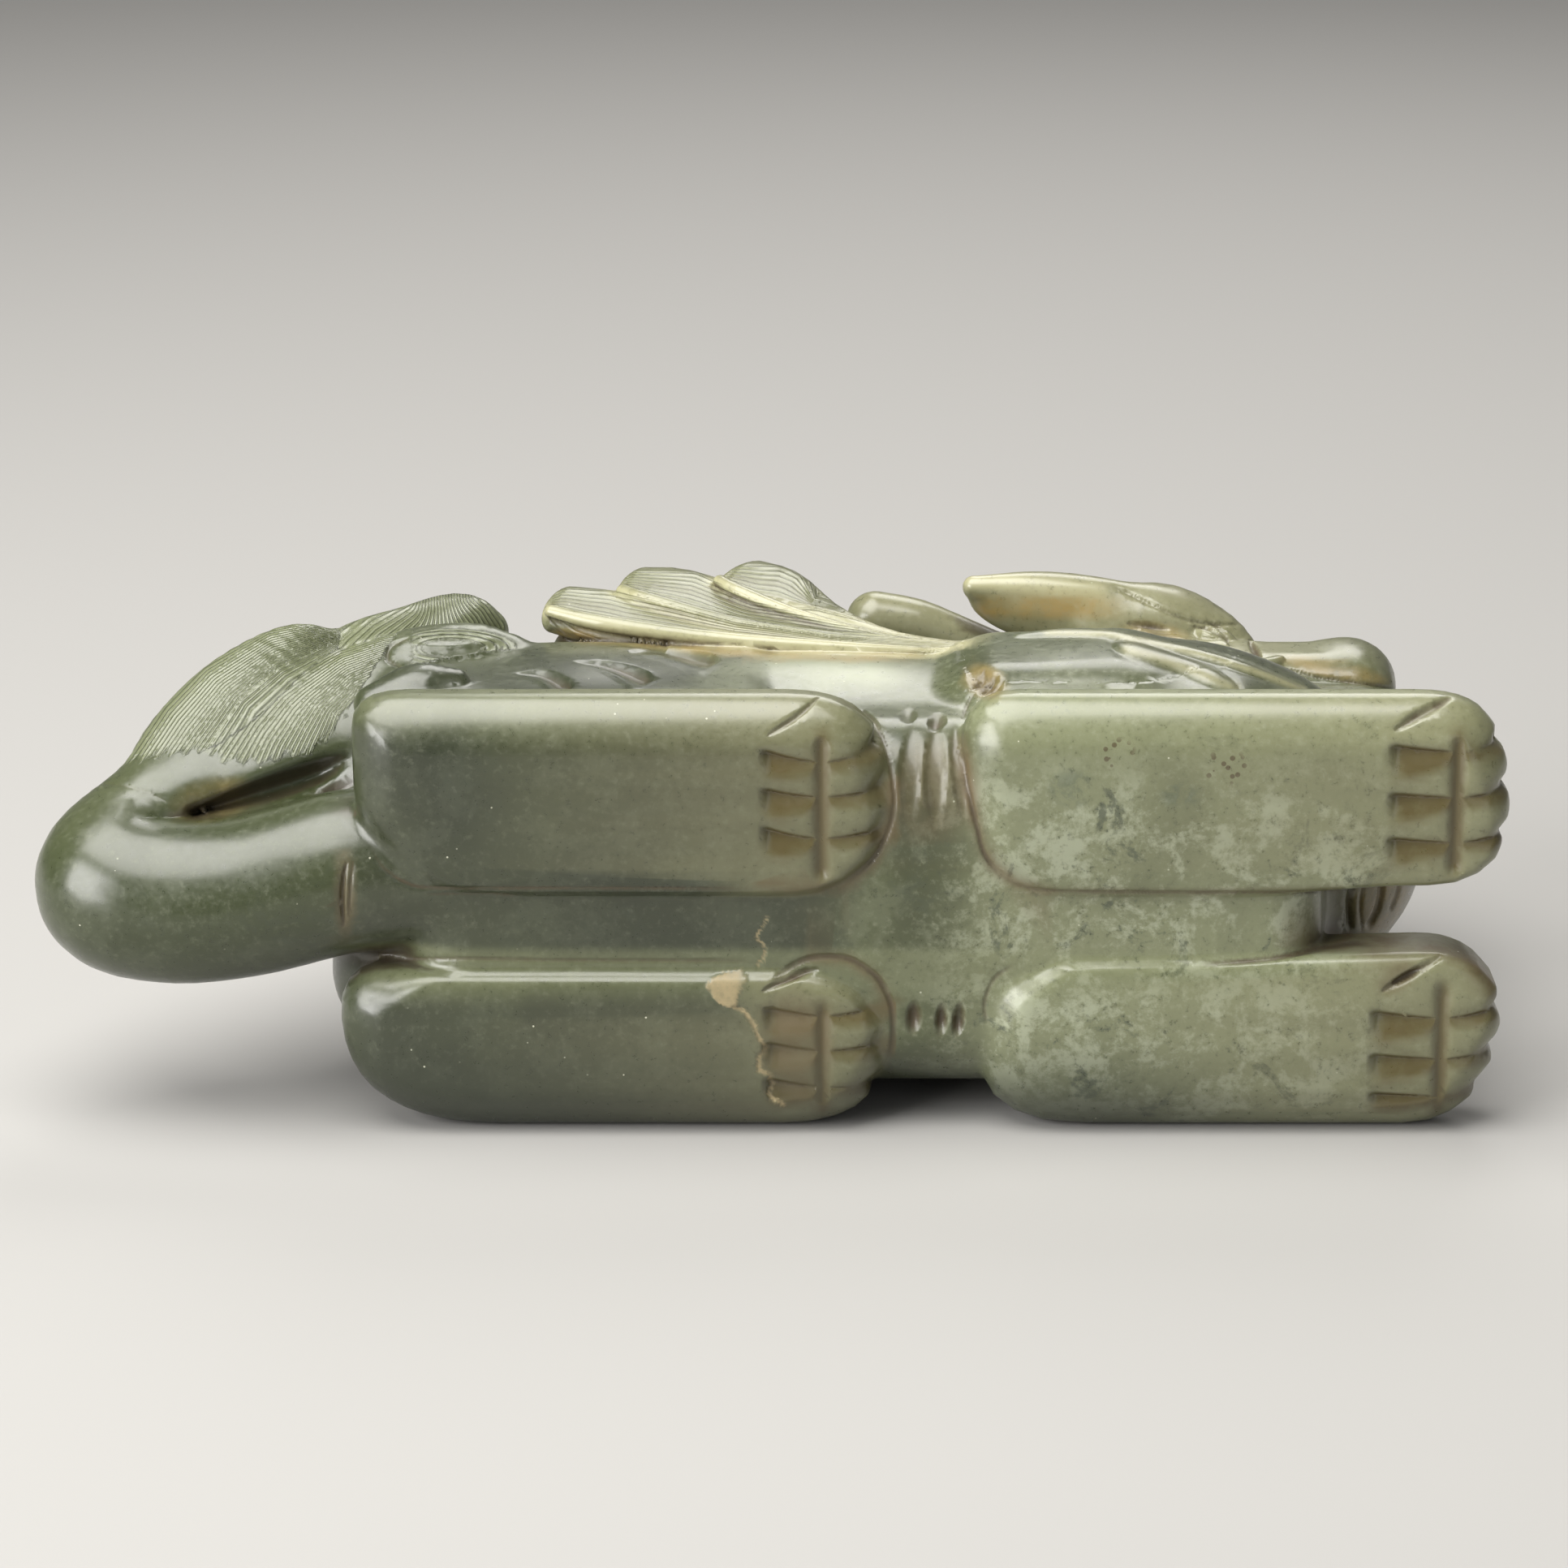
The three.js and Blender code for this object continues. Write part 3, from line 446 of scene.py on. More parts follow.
# ------------------------------------------------------------------ fine carving, laid on the solid's surface
# hair: strands run between two edges of each lock, given in view coordinates; they start above the line `start`
STRANDS = dict(
    outer=dict(a=[(120, 985), (160, 930), (200, 870), (250, 820), (330, 775), (395, 765), (425, 778)],
        b=[(225, 965), (262, 912), (296, 862), (345, 822), (417, 789), (432, 784)], n=17, start=[(120, 948), (209, 930), (262, 926)]),
    front=dict(a=[(236, 950), (262, 915), (296, 872), (335, 838), (417, 794), (475, 780), (545, 775), (600, 782), (640, 800)],
        b=[(414, 930), (425, 885), (449, 855), (493, 830), (540, 832), (600, 832)], n=25,
        start=[(225, 926), (258, 928), (272, 938), (300, 940), (332, 941), (352, 930), (372, 933), (392, 922), (409, 905), (425, 880)]),
    upper=dict(a=[(395, 815), (425, 783), (455, 760), (500, 740)], b=[(630, 805), (621, 768), (603, 744), (588, 733)], n=25, start=None),
)
EYE = dict(c=(556, 799), r=(80, 24), lens=(553, 789), lr=(33, 8))      # the curl that ends the front lock

# feathers: lower edge and upper edge of each vane
VANES = [
    ([(674, 748), (716, 763), (766, 775), (870, 786), (984, 794), (1137, 800), (1214, 797)], [(669, 738), (690, 722), (751, 722), (831, 742), (908, 765), (1022, 782), (1214, 794)], 9),
    ([(755, 723), (831, 742), (908, 765), (1022, 782), (1214, 794)], [(758, 712), (775, 702), (858, 701), (873, 708), (931, 736), (1007, 748), (1099, 771), (1206, 792)], 9),
    ([(873, 710), (931, 736), (1007, 748), (1099, 771), (1206, 794)], [(875, 702), (895, 694), (965, 691), (990, 705), (1003, 738), (1099, 764), (1206, 790)], 8),
]
# cuts and raised lines: points in view coordinates, half width and height in mm, then where on the beast they lie
# (y from, to, z from, to), whether the left flank has them too, how much dirt they hold, and their shape
def mark(pts, w, h, where=(-5, 95, -5, 80), both=False, dirt=0.0, form='groove'): return dict(pts=pts, w=w, h=h, where=where, both=both, dirt=dirt, form=form)
FLANK = (18, 50, 52, 80)
HEAD = (56, 95, 30, 80)
MARKS = [
    mark([(1250, 783), (1311, 779), (1364, 781), (1418, 791), (1494, 810), (1552, 829), (1606, 850)], .62, .55, (20, 46, 50, 80), True, 0, 'ridge'),
    mark([(1372, 793), (1418, 806), (1468, 823), (1522, 848)], 1.3, .65, (14, 44, 50, 80), True, 0, 'ridge'),
    mark([(638, 829), (672, 829), (707, 845)], 1.25, -1.05, FLANK, True, 0, 'comma'),
    mark([(711, 815), (745, 817), (775, 824), (806, 836)], 1.25, -1.05, FLANK, True, 0, 'comma'),
    mark([(774, 803), (815, 801), (850, 805), (886, 812)], 1.25, -1.05, (18, 50, 50, 80), True, 0, 'comma'),
    mark([(753, 795), (790, 793), (826, 793)], .8, -.55, (18, 50, 50, 80), True, 0, 'comma'),
    # paws: slanting lens cuts at the outer toe's root
    mark([(1718, 900), (1748, 881), (1788, 860)], .95, -.62, (-3, 12, 30, 80), False, .4, 'lens'),
    mark([(946, 906), (980, 884), (1009, 859)], .6, -.45, (-3, 12, 30, 80), False, .45, 'lens'),
    mark([(1702, 1222), (1740, 1200), (1776, 1178)], .9, -.65, (-3, 12, -5, 34), False, .5, 'lens'),
    mark([(1716, 1213), (1732, 1204), (1749, 1195)], .7, -.6, (-3, 12, -5, 34), False, .6, 'lens'),
    mark([(938, 1222), (985, 1200), (1010, 1194)], .8, -.7, (-3, 12, -5, 34), False, .35, 'lens'),
    mark([(1196, 852), (1205, 840), (1214, 824)], .3, -.3, (5, 40, 40, 80), True, .55, 'lens'),
    mark([(1206, 858), (1217, 845), (1231, 829)], .3, -.3, (5, 40, 40, 80), True, .5, 'lens'),
    mark([(1217, 858), (1228, 848), (1239, 836)], .25, -.25, (5, 40, 40, 80), True, .4, 'lens'),
    mark([(1186, 886), (1192, 868), (1201, 852)], .4, -.25, (-3, 40, 40, 80), True, .5, 'lens'),
    # tail root and tail
    mark([(427, 1062), (423, 1085), (422, 1112), (424, 1142)], .5, -.7, (-3, 30, -5, 80), False, .8, 'lens'),
    mark([(435, 1062), (432, 1090), (430, 1130)], .35, -.3, (-3, 30, -5, 80), False, .6, 'lens'),
    mark([(108, 966), (140, 966), (178, 975), (212, 990)], .3, -.14, (-3, 40, 20, 80), False, .12, 'groove'),
    mark([(497, 823), (478, 812), (482, 796), (505, 788)], .5, -.5, (25, 60, 40, 80), False, .3, 'lens'),
    # the sides of the channel between the legs
    mark([(455, 1040), (472, 1068), (500, 1087), (540, 1094), (700, 1094), (935, 1095)], .3, -.22, (-3, 14, 20, 44), False, .85),
    mark([(520, 1102), (600, 1101), (640, 1103)], .2, -.12, (-3, 14, 20, 44), False, .6),
    mark([(455, 1196), (480, 1184), (560, 1181), (700, 1183), (900, 1184), (933, 1188)], .34, -.2, (-3, 14, 15, 44), False, .6),
    mark([(1228, 1075), (1251, 1089), (1290, 1097), (1400, 1099), (1600, 1099), (1660, 1093)], .3, -.22, (-3, 16, 20, 44), False, .8),
    mark([(1188, 925), (1188, 945), (1195, 984), (1204, 1020), (1213, 1053), (1233, 1080)], .45, -.3, (-3, 16, 20, 70), False, .95),
    mark([(1480, 1188), (1560, 1182), (1620, 1170), (1670, 1162), (1700, 1166)], .5, -.25, (-3, 16, 15, 44), False, .95),
    mark([(1216, 1262), (1213, 1235), (1226, 1205), (1250, 1189)], .4, -.2, (-3, 16, 5, 44), False, .6),
    # round the hind paws
    mark([(1028, 860), (1062, 876), (1083, 900), (1098, 950), (1101, 1000), (1082, 1050), (1045, 1087)], .45, -.3, (-3, 16, 25, 80), False, .5),
    mark([(948, 1212), (975, 1191), (1003, 1180), (1040, 1180), (1066, 1192), (1084, 1208), (1098, 1236), (1101, 1265), (1099, 1290), (1092, 1318)], .6, -.35, (-3, 16, -5, 44), False, .85),
    # front: the chest's scutes
    mark([(1668, 1085), (1663, 1110), (1664, 1148)], .55, -.6, (3, 75, 20, 46), False, .55),
    mark([(1680, 1088), (1676, 1118), (1679, 1150)], .3, -.25, (3, 75, 20, 46), False, .5),
    mark([(1703, 1083), (1702, 1104), (1696, 1124), (1684, 1146)], .6, -.6, (3, 75, 20, 46), False, .55),
    mark([(1724, 1080), (1722, 1100), (1712, 1124)], .4, -.35, (3, 75, 20, 46), False, .6),
    # head: brow, eye, corner of the mouth with its tusk, mouth line
    mark([(1366, 720), (1392, 732), (1425, 748), (1462, 764), (1500, 769), (1530, 770)], .34, -.35, HEAD, True, .2),
    mark([(1378, 777), (1400, 783), (1432, 786), (1462, 793)], 1.0, -.6, HEAD, True, .8, 'lens'),
    mark([(1388, 768), (1412, 771), (1440, 776)], .8, -.5, HEAD, True, .5, 'lens'),
    mark([(1474, 777), (1494, 787), (1514, 797)], .95, .7, HEAD, True, 0, 'lens'),
    mark([(1468, 772), (1488, 775), (1505, 784), (1518, 795)], .3, -.4, HEAD, True, .7),
    mark([(1470, 785), (1487, 796), (1508, 803)], .35, -.4, HEAD, True, .5),
    mark([(1492, 766), (1505, 776), (1514, 788)], .45, -.35, HEAD, True, .4, 'lens'),
    mark([(1539, 789), (1546, 800), (1553, 812)], .7, -.8, HEAD, True, .95, 'lens'),
    mark([(1552, 817), (1566, 817), (1583, 812)], 1.0, .75, HEAD, True, 0, 'lens'),
    mark([(1556, 824), (1590, 826), (1625, 835), (1670, 841), (1724, 849)], .3, -.4, HEAD, True, .5),
]
# hollows: centre, radii, turn (degrees), depth in mm, where, both, dirt
def hollow(c, r, turn, h, where=(-5, 95, -5, 80), both=False, dirt=.5): return dict(c=c, r=r, turn=turn, h=h, where=where, both=both, dirt=dirt)
WAIST = (-3, 30, 5, 80)
HOLLOWS = [
    hollow((1119, 882), (13, 11), -20, -.45, WAIST, False, .25), hollow((1121, 957), (17, 74), 2, -.46, WAIST, False, .2),
    hollow((1154, 889), (15, 12), -25, -.7, WAIST, False, .5), hollow((1152, 957), (17, 76), 0, -.55, WAIST, False, .24),
    hollow((1181, 953), (11, 70), -6, -.42, WAIST, False, .3),
    hollow((1126, 1254), (12, 24), 4, -1.0, WAIST, False, .6), hollow((1160, 1257), (10, 24), 4, -1.0, WAIST, False, .65), hollow((1181, 1257), (10, 25), 8, -1.1, WAIST, False, .7),
    hollow((1213, 840), (27, 19), 28, -1.1, (5, 40, 40, 80), True, .12),
]

def gate(P, where, soft=1.5):
    y0, y1, z0, z1 = where
    return (smooth(y0 - soft, y0, P[:, 1]) * smooth(y1 + soft, y1, P[:, 1]) * smooth(z0 - soft, z0, P[:, 2]) * smooth(z1 + soft, z1, P[:, 2])).astype(F)

def reach(prim, P, far=9.0):
    g = np.full(len(P), far, F); m = np.nonzero(((P >= prim[1] - 3) & (P <= prim[2] + 3)).all(1))[0]
    if len(m): g[m] = prim[0](P[m])
    return g

RIGHT_WING = [sweep(np.array(p), a, b, (0, -.18, 1.0), 14) for p, a, b in WING]

# the old repair by the left hind paw: a patch of tan filling, the worn surface's ragged edge, and a crack above it
REPAIR = [(870, 1215), (879, 1204), (892, 1199), (915, 1194), (921, 1207), (912, 1221), (909, 1232), (907, 1243), (892, 1240), (880, 1232), (876, 1223)]
EDGE = [(905, 1242), (918, 1250), (927, 1264), (933, 1279), (941, 1291), (933, 1303), (933, 1320), (945, 1325), (950, 1335), (943, 1347), (950, 1354), (962, 1362)]
CRACK = [(933, 1189), (943, 1176), (943, 1168), (939, 1163), (931, 1155), (937, 1146), (942, 1137), (945, 1130)]

def relief(P, N):
    """height in mm, dirt held, strand phase, how fine the surface has to be and the repair's tan, at points P with outward directions N"""
    n = len(P)
    H = np.zeros(n, F); dirt = np.zeros(n, F); fine = np.zeros(n, F); strand = np.zeros(n, F); amount = np.zeros(n, F); tan = np.zeros(n, F)
    left = P[:, 2] < MID
    M = P.copy(); M[left, 2] = 2 * MID - M[left, 2]
    NM = N.copy(); NM[left, 2] *= -1
    q0, s0 = seen(P); q1, s1 = seen(M)
    eye = np.array([0, -AWAY, ABOVE], F)
    def facing(X, Y):
        w = eye - X; w = w / np.linalg.norm(w, axis=1)[:, None]
        return smooth(.02, .25, (w * Y).sum(1))
    f0, f1 = facing(P, N), facing(M, NM)
    # hair
    tail_box = (P[:, 0] < -36)
    idx = np.nonzero(tail_box)[0]
    if len(idx):
        p = P[idx]; q = q0[idx]
        g = {k: reach(LOCKS[k], p) for k in ('outer', 'upper', 'front')}
        g['tail'] = reach(TAIL, p)
        for k, S in STRANDS.items():
            other = np.min([g[j] for j in g if j != k], axis=0)
            on = smooth(-.5, .5, other - g[k]) * smooth(1.6, .8, g[k])
            m = np.nonzero(on > .01)[0]
            if not len(m): continue
            qq = q[m]; da, _, _ = along(qq, S['a']); db, _, _ = along(qq, S['b'])
            ph = S['n'] * da / (da + db + 1e-3); o = on[m].copy()
            if S['start']:
                d, _, sd = along(qq, S['start'])
                o *= smooth(-1, 9, -d * sd + 4 * np.sin(ph * 2.1) + 2.5 * np.sin(ph * 5.3 + 1))
            if k == 'front':
                ex, ey = (qq[:, 0] - EYE['c'][0]) / EYE['r'][0], (qq[:, 1] - EYE['c'][1]) / EYE['r'][1]
                r = np.sqrt(ex * ex + ey * ey); ring = smooth(1.06, .94, r)
                lens = ((qq[:, 0] - EYE['lens'][0]) / EYE['lr'][0]) ** 2 + ((qq[:, 1] - EYE['lens'][1] + .04 * (qq[:, 0] - EYE['lens'][0])) / EYE['lr'][1]) ** 2
                face = f0[idx[m]]
                # rings open to the left, where the curl's smooth bulge is
                rings = ring * smooth(-.75, -.3, ex) * smooth(.42, .55, r) * face
                ii = idx[m]; turn = 5.6 * r
                H[ii] += (-.12 * (.5 - .5 * np.cos(2 * math.pi * turn)) * rings).astype(F)
                H[ii] += (face * ring * (.7 * np.clip(1 - r * r, 0, 1) - .4 * np.clip(1 - lens * .7, 0, 1) ** 1.3 + .2 * np.exp(-((np.sqrt(lens) - 1.55) / .38) ** 2))).astype(F)
                fine[ii] = np.maximum(fine[ii], ring * face)
                strand[ii] = np.where(rings > .2, turn, strand[ii]); amount[ii] = np.maximum(amount[ii], np.where(rings > .2, rings, 0))
                o *= 1 - ring * face
            ii = idx[m]; near = f0[ii]
            H[ii] += (-(.18 if k != 'outer' else .17) * (.5 - .5 * np.cos(2 * math.pi * ph)) * o * near).astype(F)
            strand[ii] = np.where(o > amount[ii], ph, strand[ii]); amount[ii] = np.maximum(amount[ii], o)
            fine[ii] = np.maximum(fine[ii], o * near)
    # wings
    Mw = M.copy(); Mw[left, 2] += 1.8
    idx = np.nonzero((M[:, 0] > -42) & (M[:, 0] < 30) & (M[:, 1] > 36) & (M[:, 2] > 56))[0]
    if len(idx):
        p = Mw[idx]; qq = seen(p)[0]; g = [reach(w, p) for w in RIGHT_WING]
        which = np.argmin(g, 0); near = np.min(g, 0)
        for i, (a, b, k) in enumerate(VANES):
            m = np.nonzero((which == i) & (near < 1.2))[0]
            if not len(m): continue
            da, _, _ = along(qq[m], a); db, _, _ = along(qq[m], b)
            c = da / (da + db + 1e-3); ph = k * c
            o = smooth(.10, .2, c) * smooth(1.0, .9, c) * smooth(1214, 1120, qq[m, 0]) * smooth(1.2, .4, near[m])
            ii = idx[m]; o = (o * f1[ii]).astype(F)
            H[ii] += (-.55 * np.clip(np.sin(math.pi * np.clip(c * 1.15 - .08, 0, 1)), 0, 1) * smooth(1240, 1000, qq[m, 0]) * f1[ii] * smooth(1.2, .4, near[m]) - .05 * (.5 - .5 * np.cos(2 * math.pi * ph)) * o).astype(F)
            strand[ii] = np.where(o > amount[ii], ph, strand[ii]); amount[ii] = np.maximum(amount[ii], .7 * o)
            dirt[ii] = np.maximum(dirt[ii], .05 * o)
            fine[ii] = np.maximum(fine[ii], .8 * o)
    # cuts, raised lines, hollows
    for k in MARKS:
        X, Q, S, W = (M, q1, s1, f1) if k['both'] else (P, q0, s0, f0)
        pt = np.array(k['pts'], F); pad = 3 * k['w'] * 9
        m = np.nonzero((Q[:, 0] > pt[:, 0].min() - pad) & (Q[:, 0] < pt[:, 0].max() + pad) & (Q[:, 1] > pt[:, 1].min() - pad) & (Q[:, 1] < pt[:, 1].max() + pad) & (W > 0))[0]
        if not len(m): continue
        d, t, sd = along(Q[m], catmull(pt, 4 * len(pt)))
        d = d * S[m]; o = gate(X[m], k['where']) * W[m]; w, h = k['w'], k['h']
        if k['form'] == 'lens':
            wt = w * (.12 + .88 * np.sqrt(np.clip(4 * t * (1 - t), 0, 1))); c = np.clip(1 - (d / wt) ** 2, 0, 1); hh = h * c ** 1.4 * (wt / w)
        elif k['form'] == 'comma':
            wt = w * np.clip(.15 + .85 * (t / .75), 0, 1) * np.sqrt(np.clip((1 - t) / .12, 0, 1)); wt = np.maximum(wt, .05)
            x = d * sd / wt                                             # + is below the line
            hh = h * (wt / w) * np.where(x < 0, np.clip(1 + x / .55, 0, 1), np.clip(1 - (x / 1.25) ** 2, 0, 1)) + .24 * (wt / w) * np.exp(-((x - 1.7) / .5) ** 2); c = (np.abs(x) < 1.3) * 1.0
        elif k['form'] == 'ridge':
            wt = w * (.35 + .65 * np.sqrt(np.clip(np.minimum(t * 6, (1 - t) * 5), 0, 1))); c = np.clip(1 - (d / wt) ** 2, 0, 1) ** 1.3
            hh = h * c * np.sqrt(np.clip(np.minimum(t * 6, (1 - t) * 5), 0, 1)) - .12 * np.exp(-((d - wt * 1.25) / (.35 * w)) ** 2)
        else:
            e = np.clip(np.minimum(t * 8, (1 - t) * 8), 0, 1); c = np.clip(1 - (d / w) ** 2, 0, 1) * e; hh = h * c
        H[m] += (hh * o).astype(F); dirt[m] = np.maximum(dirt[m], k['dirt'] * c * o)
        fine[m] = np.maximum(fine[m], .8 * o * (d < 2.2 * w + .3) * (np.abs(h) > 0))
    for k in HOLLOWS:
        X, Q, W = (M, q1, f1) if k['both'] else (P, q0, f0)
        a = math.radians(k['turn']); ux = Q[:, 0] - k['c'][0]; uy = Q[:, 1] - k['c'][1]
        r2 = ((ux * math.cos(a) + uy * math.sin(a)) / k['r'][0]) ** 2 + ((-ux * math.sin(a) + uy * math.cos(a)) / k['r'][1]) ** 2
        m = np.nonzero((r2 < 2.2) & (W > 0))[0]
        if not len(m): continue
        o = gate(X[m], k['where']) * W[m]; c = np.clip(1 - r2[m], 0, 1)
        H[m] += (k['h'] * (c ** 1.7 if k['r'][1] < 70 else c * c * (3 - 2 * c)) * o).astype(F); dirt[m] = np.maximum(dirt[m], k['dirt'] * np.clip(1.3 * c, 0, 1) * o)
        fine[m] = np.maximum(fine[m], .5 * o * (r2[m] < 1.4))
    # the old repair
    m = np.nonzero((q0[:, 0] > 850) & (q0[:, 0] < 1125) & (q0[:, 1] > 1115) & (q0[:, 1] < 1385) & (P[:, 1] < 8) & (f0 > 0))[0]
    if len(m):
        q = q0[m]; k = s0[m]; jag = .12 * np.sin(q[:, 0] * .9 + 1.3 * np.sin(q[:, 1] * .7)) + .1 * np.sin(q[:, 1] * 1.7 + q[:, 0] * .4)
        dp = poly2(q[:, 0], q[:, 1], REPAIR) * k + jag
        de, _, sd = along(q, EDGE); de = de * k * sd + jag                       # + is left of the edge, on the leg
        dc, _, _ = along(q, CRACK); dc = dc * k
        low = smooth(.12, -.12, de) * smooth(-9, -1, de) * (q[:, 1] > 1240) * smooth(1372, 1362, q[:, 1])
        patch = smooth(.12, -.12, dp); line = np.exp(-((de + .25) / .28) ** 2) * (q[:, 1] > 1241) + .8 * np.exp(-((dc + jag) / .16) ** 2)
        H[m] += (.12 * patch - .22 * low - .1 * np.exp(-(dc / .18) ** 2)).astype(F)
        tan[m] = np.clip(np.maximum(patch * (1 - .75 * smooth(903, 920, q[:, 0])), line), 0, 1)
        fine[m] = np.maximum(fine[m], np.maximum(np.abs(dp) < .45, np.maximum((np.abs(de) < .6) & (q[:, 1] > 1238), dc < .5)))
    return H, dirt, strand, amount, fine, tan

# ------------------------------------------------------------------ mesh
def carve():
    b = beast()
    D, lo = b.grid(LOW, HIGH, 1.0)
    X, T = nets(D, lo, 1.0)
    X, N = b.settle(X, 2)
    R = relief(X, N); fine, strand, amount = R[4], R[2], R[3]
    for size in (.95, .48, .27, .17):
        def wanted(e):
            a, c = e[:, 0], e[:, 1]
            L = np.linalg.norm(X[a] - X[c], axis=1)
            bend = np.arccos(np.clip((N[a] * N[c]).sum(1), -1, 1))
            hair = np.minimum(amount[a], amount[c]) > .3                # split across the strands, not along them
            fewer = np.where(np.abs(strand[a] - strand[c]) > .2, .15, .9)
            want = np.where(np.maximum(fine[a], fine[c]) > .08, np.where(hair, fewer, .38), 9.0)
            sharp = (bend > .3) & (L > .45)
            return ((L > want * 1.25) | sharp) & (L > size * .8)
        mid, T = refine(X, T, wanted)
        mid, nm = b.settle(mid, 2, .4)
        R = relief(mid, nm)
        X = np.vstack([X, mid]); N = np.vstack([N, nm])
        fine = np.concatenate([fine, R[4]]); strand = np.concatenate([strand, R[2]]); amount = np.concatenate([amount, R[3]])
    R = relief(X, N); H = R[0]
    plain = 1 - np.clip(.3 * (R[4] > .08) + .35 * (R[3] > .3) + .5 * (wedge(X) > .05), 0, .9)
    q = seen(X)[0]; plain[(R[5] > .02) | ((q[:, 0] > 855) & (q[:, 0] < 985) & (q[:, 1] > 1120) & (q[:, 1] < 1375) & (X[:, 1] < 8) & (fine > .08))] = 0
    X = X + N * H[:, None]; X[:, 2] = np.maximum(X[:, 2], GROUND)
    return b, X, T, plain

def wedge(X):
    """where a point lies between two toes"""
    w = np.zeros(len(X), F)
    for lo, hi, f in WEDGES:
        m = np.nonzero(((X >= lo - 1) & (X <= hi + 1)).all(1) & (X[:, 1] < 8))[0]
        if len(m): w[m] = np.maximum(w[m], f(X[m, 0], X[m, 2], True) * smooth(8, 4, X[m, 1]))
    return w

def mesh_of(name, X, T):
    me = bpy.data.meshes.new(name)
    me.vertices.add(len(X)); me.vertices.foreach_set('co', (X.astype(np.float64)).ravel())
    me.loops.add(3 * len(T)); me.loops.foreach_set('vertex_index', T.astype(np.int32).ravel())
    me.polygons.add(len(T)); me.polygons.foreach_set('loop_start', np.arange(0, 3 * len(T), 3, dtype=np.int32)); me.polygons.foreach_set('loop_total', np.full(len(T), 3, np.int32))
    me.polygons.foreach_set('use_smooth', np.ones(len(T), bool))
    me.update(calc_edges=True)
    return me

def thin(obj, most, plain):
    """collapses edges, first where the surface is plain, until the piece has `most` triangles"""
    n = len(obj.data.polygons)
    if n <= most: return
    g = obj.vertex_groups.new(name='plain'); lv = np.round(plain * 10).astype(int)
    for k in range(1, 11): g.add(np.nonzero(lv == k)[0].tolist(), k / 10, 'REPLACE')
    d = obj.modifiers.new('thin', 'DECIMATE'); d.ratio = most / n; d.vertex_group = 'plain'; d.vertex_group_factor = .02
    dg = bpy.context.evaluated_depsgraph_get()
    me = bpy.data.meshes.new_from_object(obj.evaluated_get(dg)); obj.modifiers.remove(d)
    old = obj.data; obj.data = me; bpy.data.meshes.remove(old)

solid, X, T, plain = carve()
dragon = bpy.data.objects.new('jade_dragon_carved', mesh_of('jade_dragon_carved', X, T))
bpy.context.scene.collection.objects.link(dragon)
thin(dragon, 194000, plain); dragon.vertex_groups.clear()
me = dragon.data; me.name = 'jade_dragon_carved'
nv = len(me.vertices)
X = np.empty(nv * 3); me.vertices.foreach_get('co', X); X = X.reshape(-1, 3).astype(F)
NG = np.empty(nv * 3, np.float32); me.vertex_normals.foreach_get('vector', NG); NG = NG.reshape(-1, 3)
f, g = solid.normal(X)
NS = g / (np.linalg.norm(g, axis=1)[:, None] + 1e-9)
H, dirt, strand, amount, fine, tan = relief(X, NS.astype(F))
# the plain, polished areas take their shading straight from the solid's own curvature
w = np.clip(np.maximum(fine, np.abs(H) * 20), 0, 1)[:, None]
bad = ((NS * NG).sum(1) < .85)[:, None]
NN = NS * (1 - w) + NG * w; NN = np.where(bad, NG, NN); NN /= np.linalg.norm(NN, axis=1)[:, None] + 1e-9

# ------------------------------------------------------------------ where colour, dirt and painted shade lie
def hollow_at(r): return np.clip(1 - solid((X + NS * r).astype(F), 99) / r, 0, 1)
c1, c3, c8 = hollow_at(1.0), hollow_at(3.0), hollow_at(8.0)
x, y, z = X.T
M = X.copy(); lf = z < MID; M[lf, 2] = 2 * MID - M[lf, 2]; NM = NS.copy(); NM[lf, 2] *= -1
q1 = seen(M)[0]
paw = np.zeros(nv, F)
for leg_ in LEGS.values():
    o_ = smooth(1.0, -.6, poly2(x, z, rounded(leg_['corners']))) * smooth(leg_['paw'][0] - 10, leg_['paw'][0] + 3, x) * smooth(15, 10, y)
    paw = np.maximum(paw, o_)
cut = wedge(X)
toe_dirt = smooth(.3, .8, c1) * paw
dirt = np.clip(dirt + .45 * toe_dirt + .55 * smooth(.38, .85, c1) + .3 * smooth(.45, .85, c3) * (1 - paw), 0, 1)
# painted shade: deep recesses are painted darker
recess_shade = smooth(.5, .82, c8) * smooth(.35, .75, c3) * (1 - .6 * smooth(66, 76, x))
near_wing = np.min([reach(w_, (M + np.array([0, 0, 1.8]) * lf[:, None]).astype(F)) for w_ in RIGHT_WING], 0)
wing = smooth(3.4, 2.3, near_wing) * (M[:, 2] > 56) * (y > 36)
recess_shade = recess_shade * (1 - smooth(6, 1, near_wing) * (M[:, 2] > 50))
head = smooth(62, 70, y) * smooth(5, 14, x) * (1 - .62 * smooth(66, 88, x))
def patch(q, c, r, turn=0):
    a = math.radians(turn); ux, uy = q[:, 0] - c[0], q[:, 1] - c[1]
    return np.clip(1.4 * (1 - ((ux * math.cos(a) + uy * math.sin(a)) / r[0]) ** 2 - ((-ux * math.sin(a) + uy * math.cos(a)) / r[1]) ** 2), 0, 1)
flank = (M[:, 2] > 45) * 1.0
q0 = seen(X)[0]; right = (z > 20) * 1.0
RIBS = [[(672, 752), (700, 762), (747, 771), (820, 783), (887, 790), (980, 800), (1040, 804), (1120, 801), (1214, 800)],
    [(756, 727), (800, 744), (840, 758), (880, 770), (920, 778), (960, 784), (1040, 796), (1120, 799)],
    [(880, 716), (920, 736), (960, 748), (1000, 757), (1080, 774), (1160, 788), (1206, 797)]]
rib = sum(np.exp(-(along(q1, a)[0] / 9) ** 2) for a in RIBS)
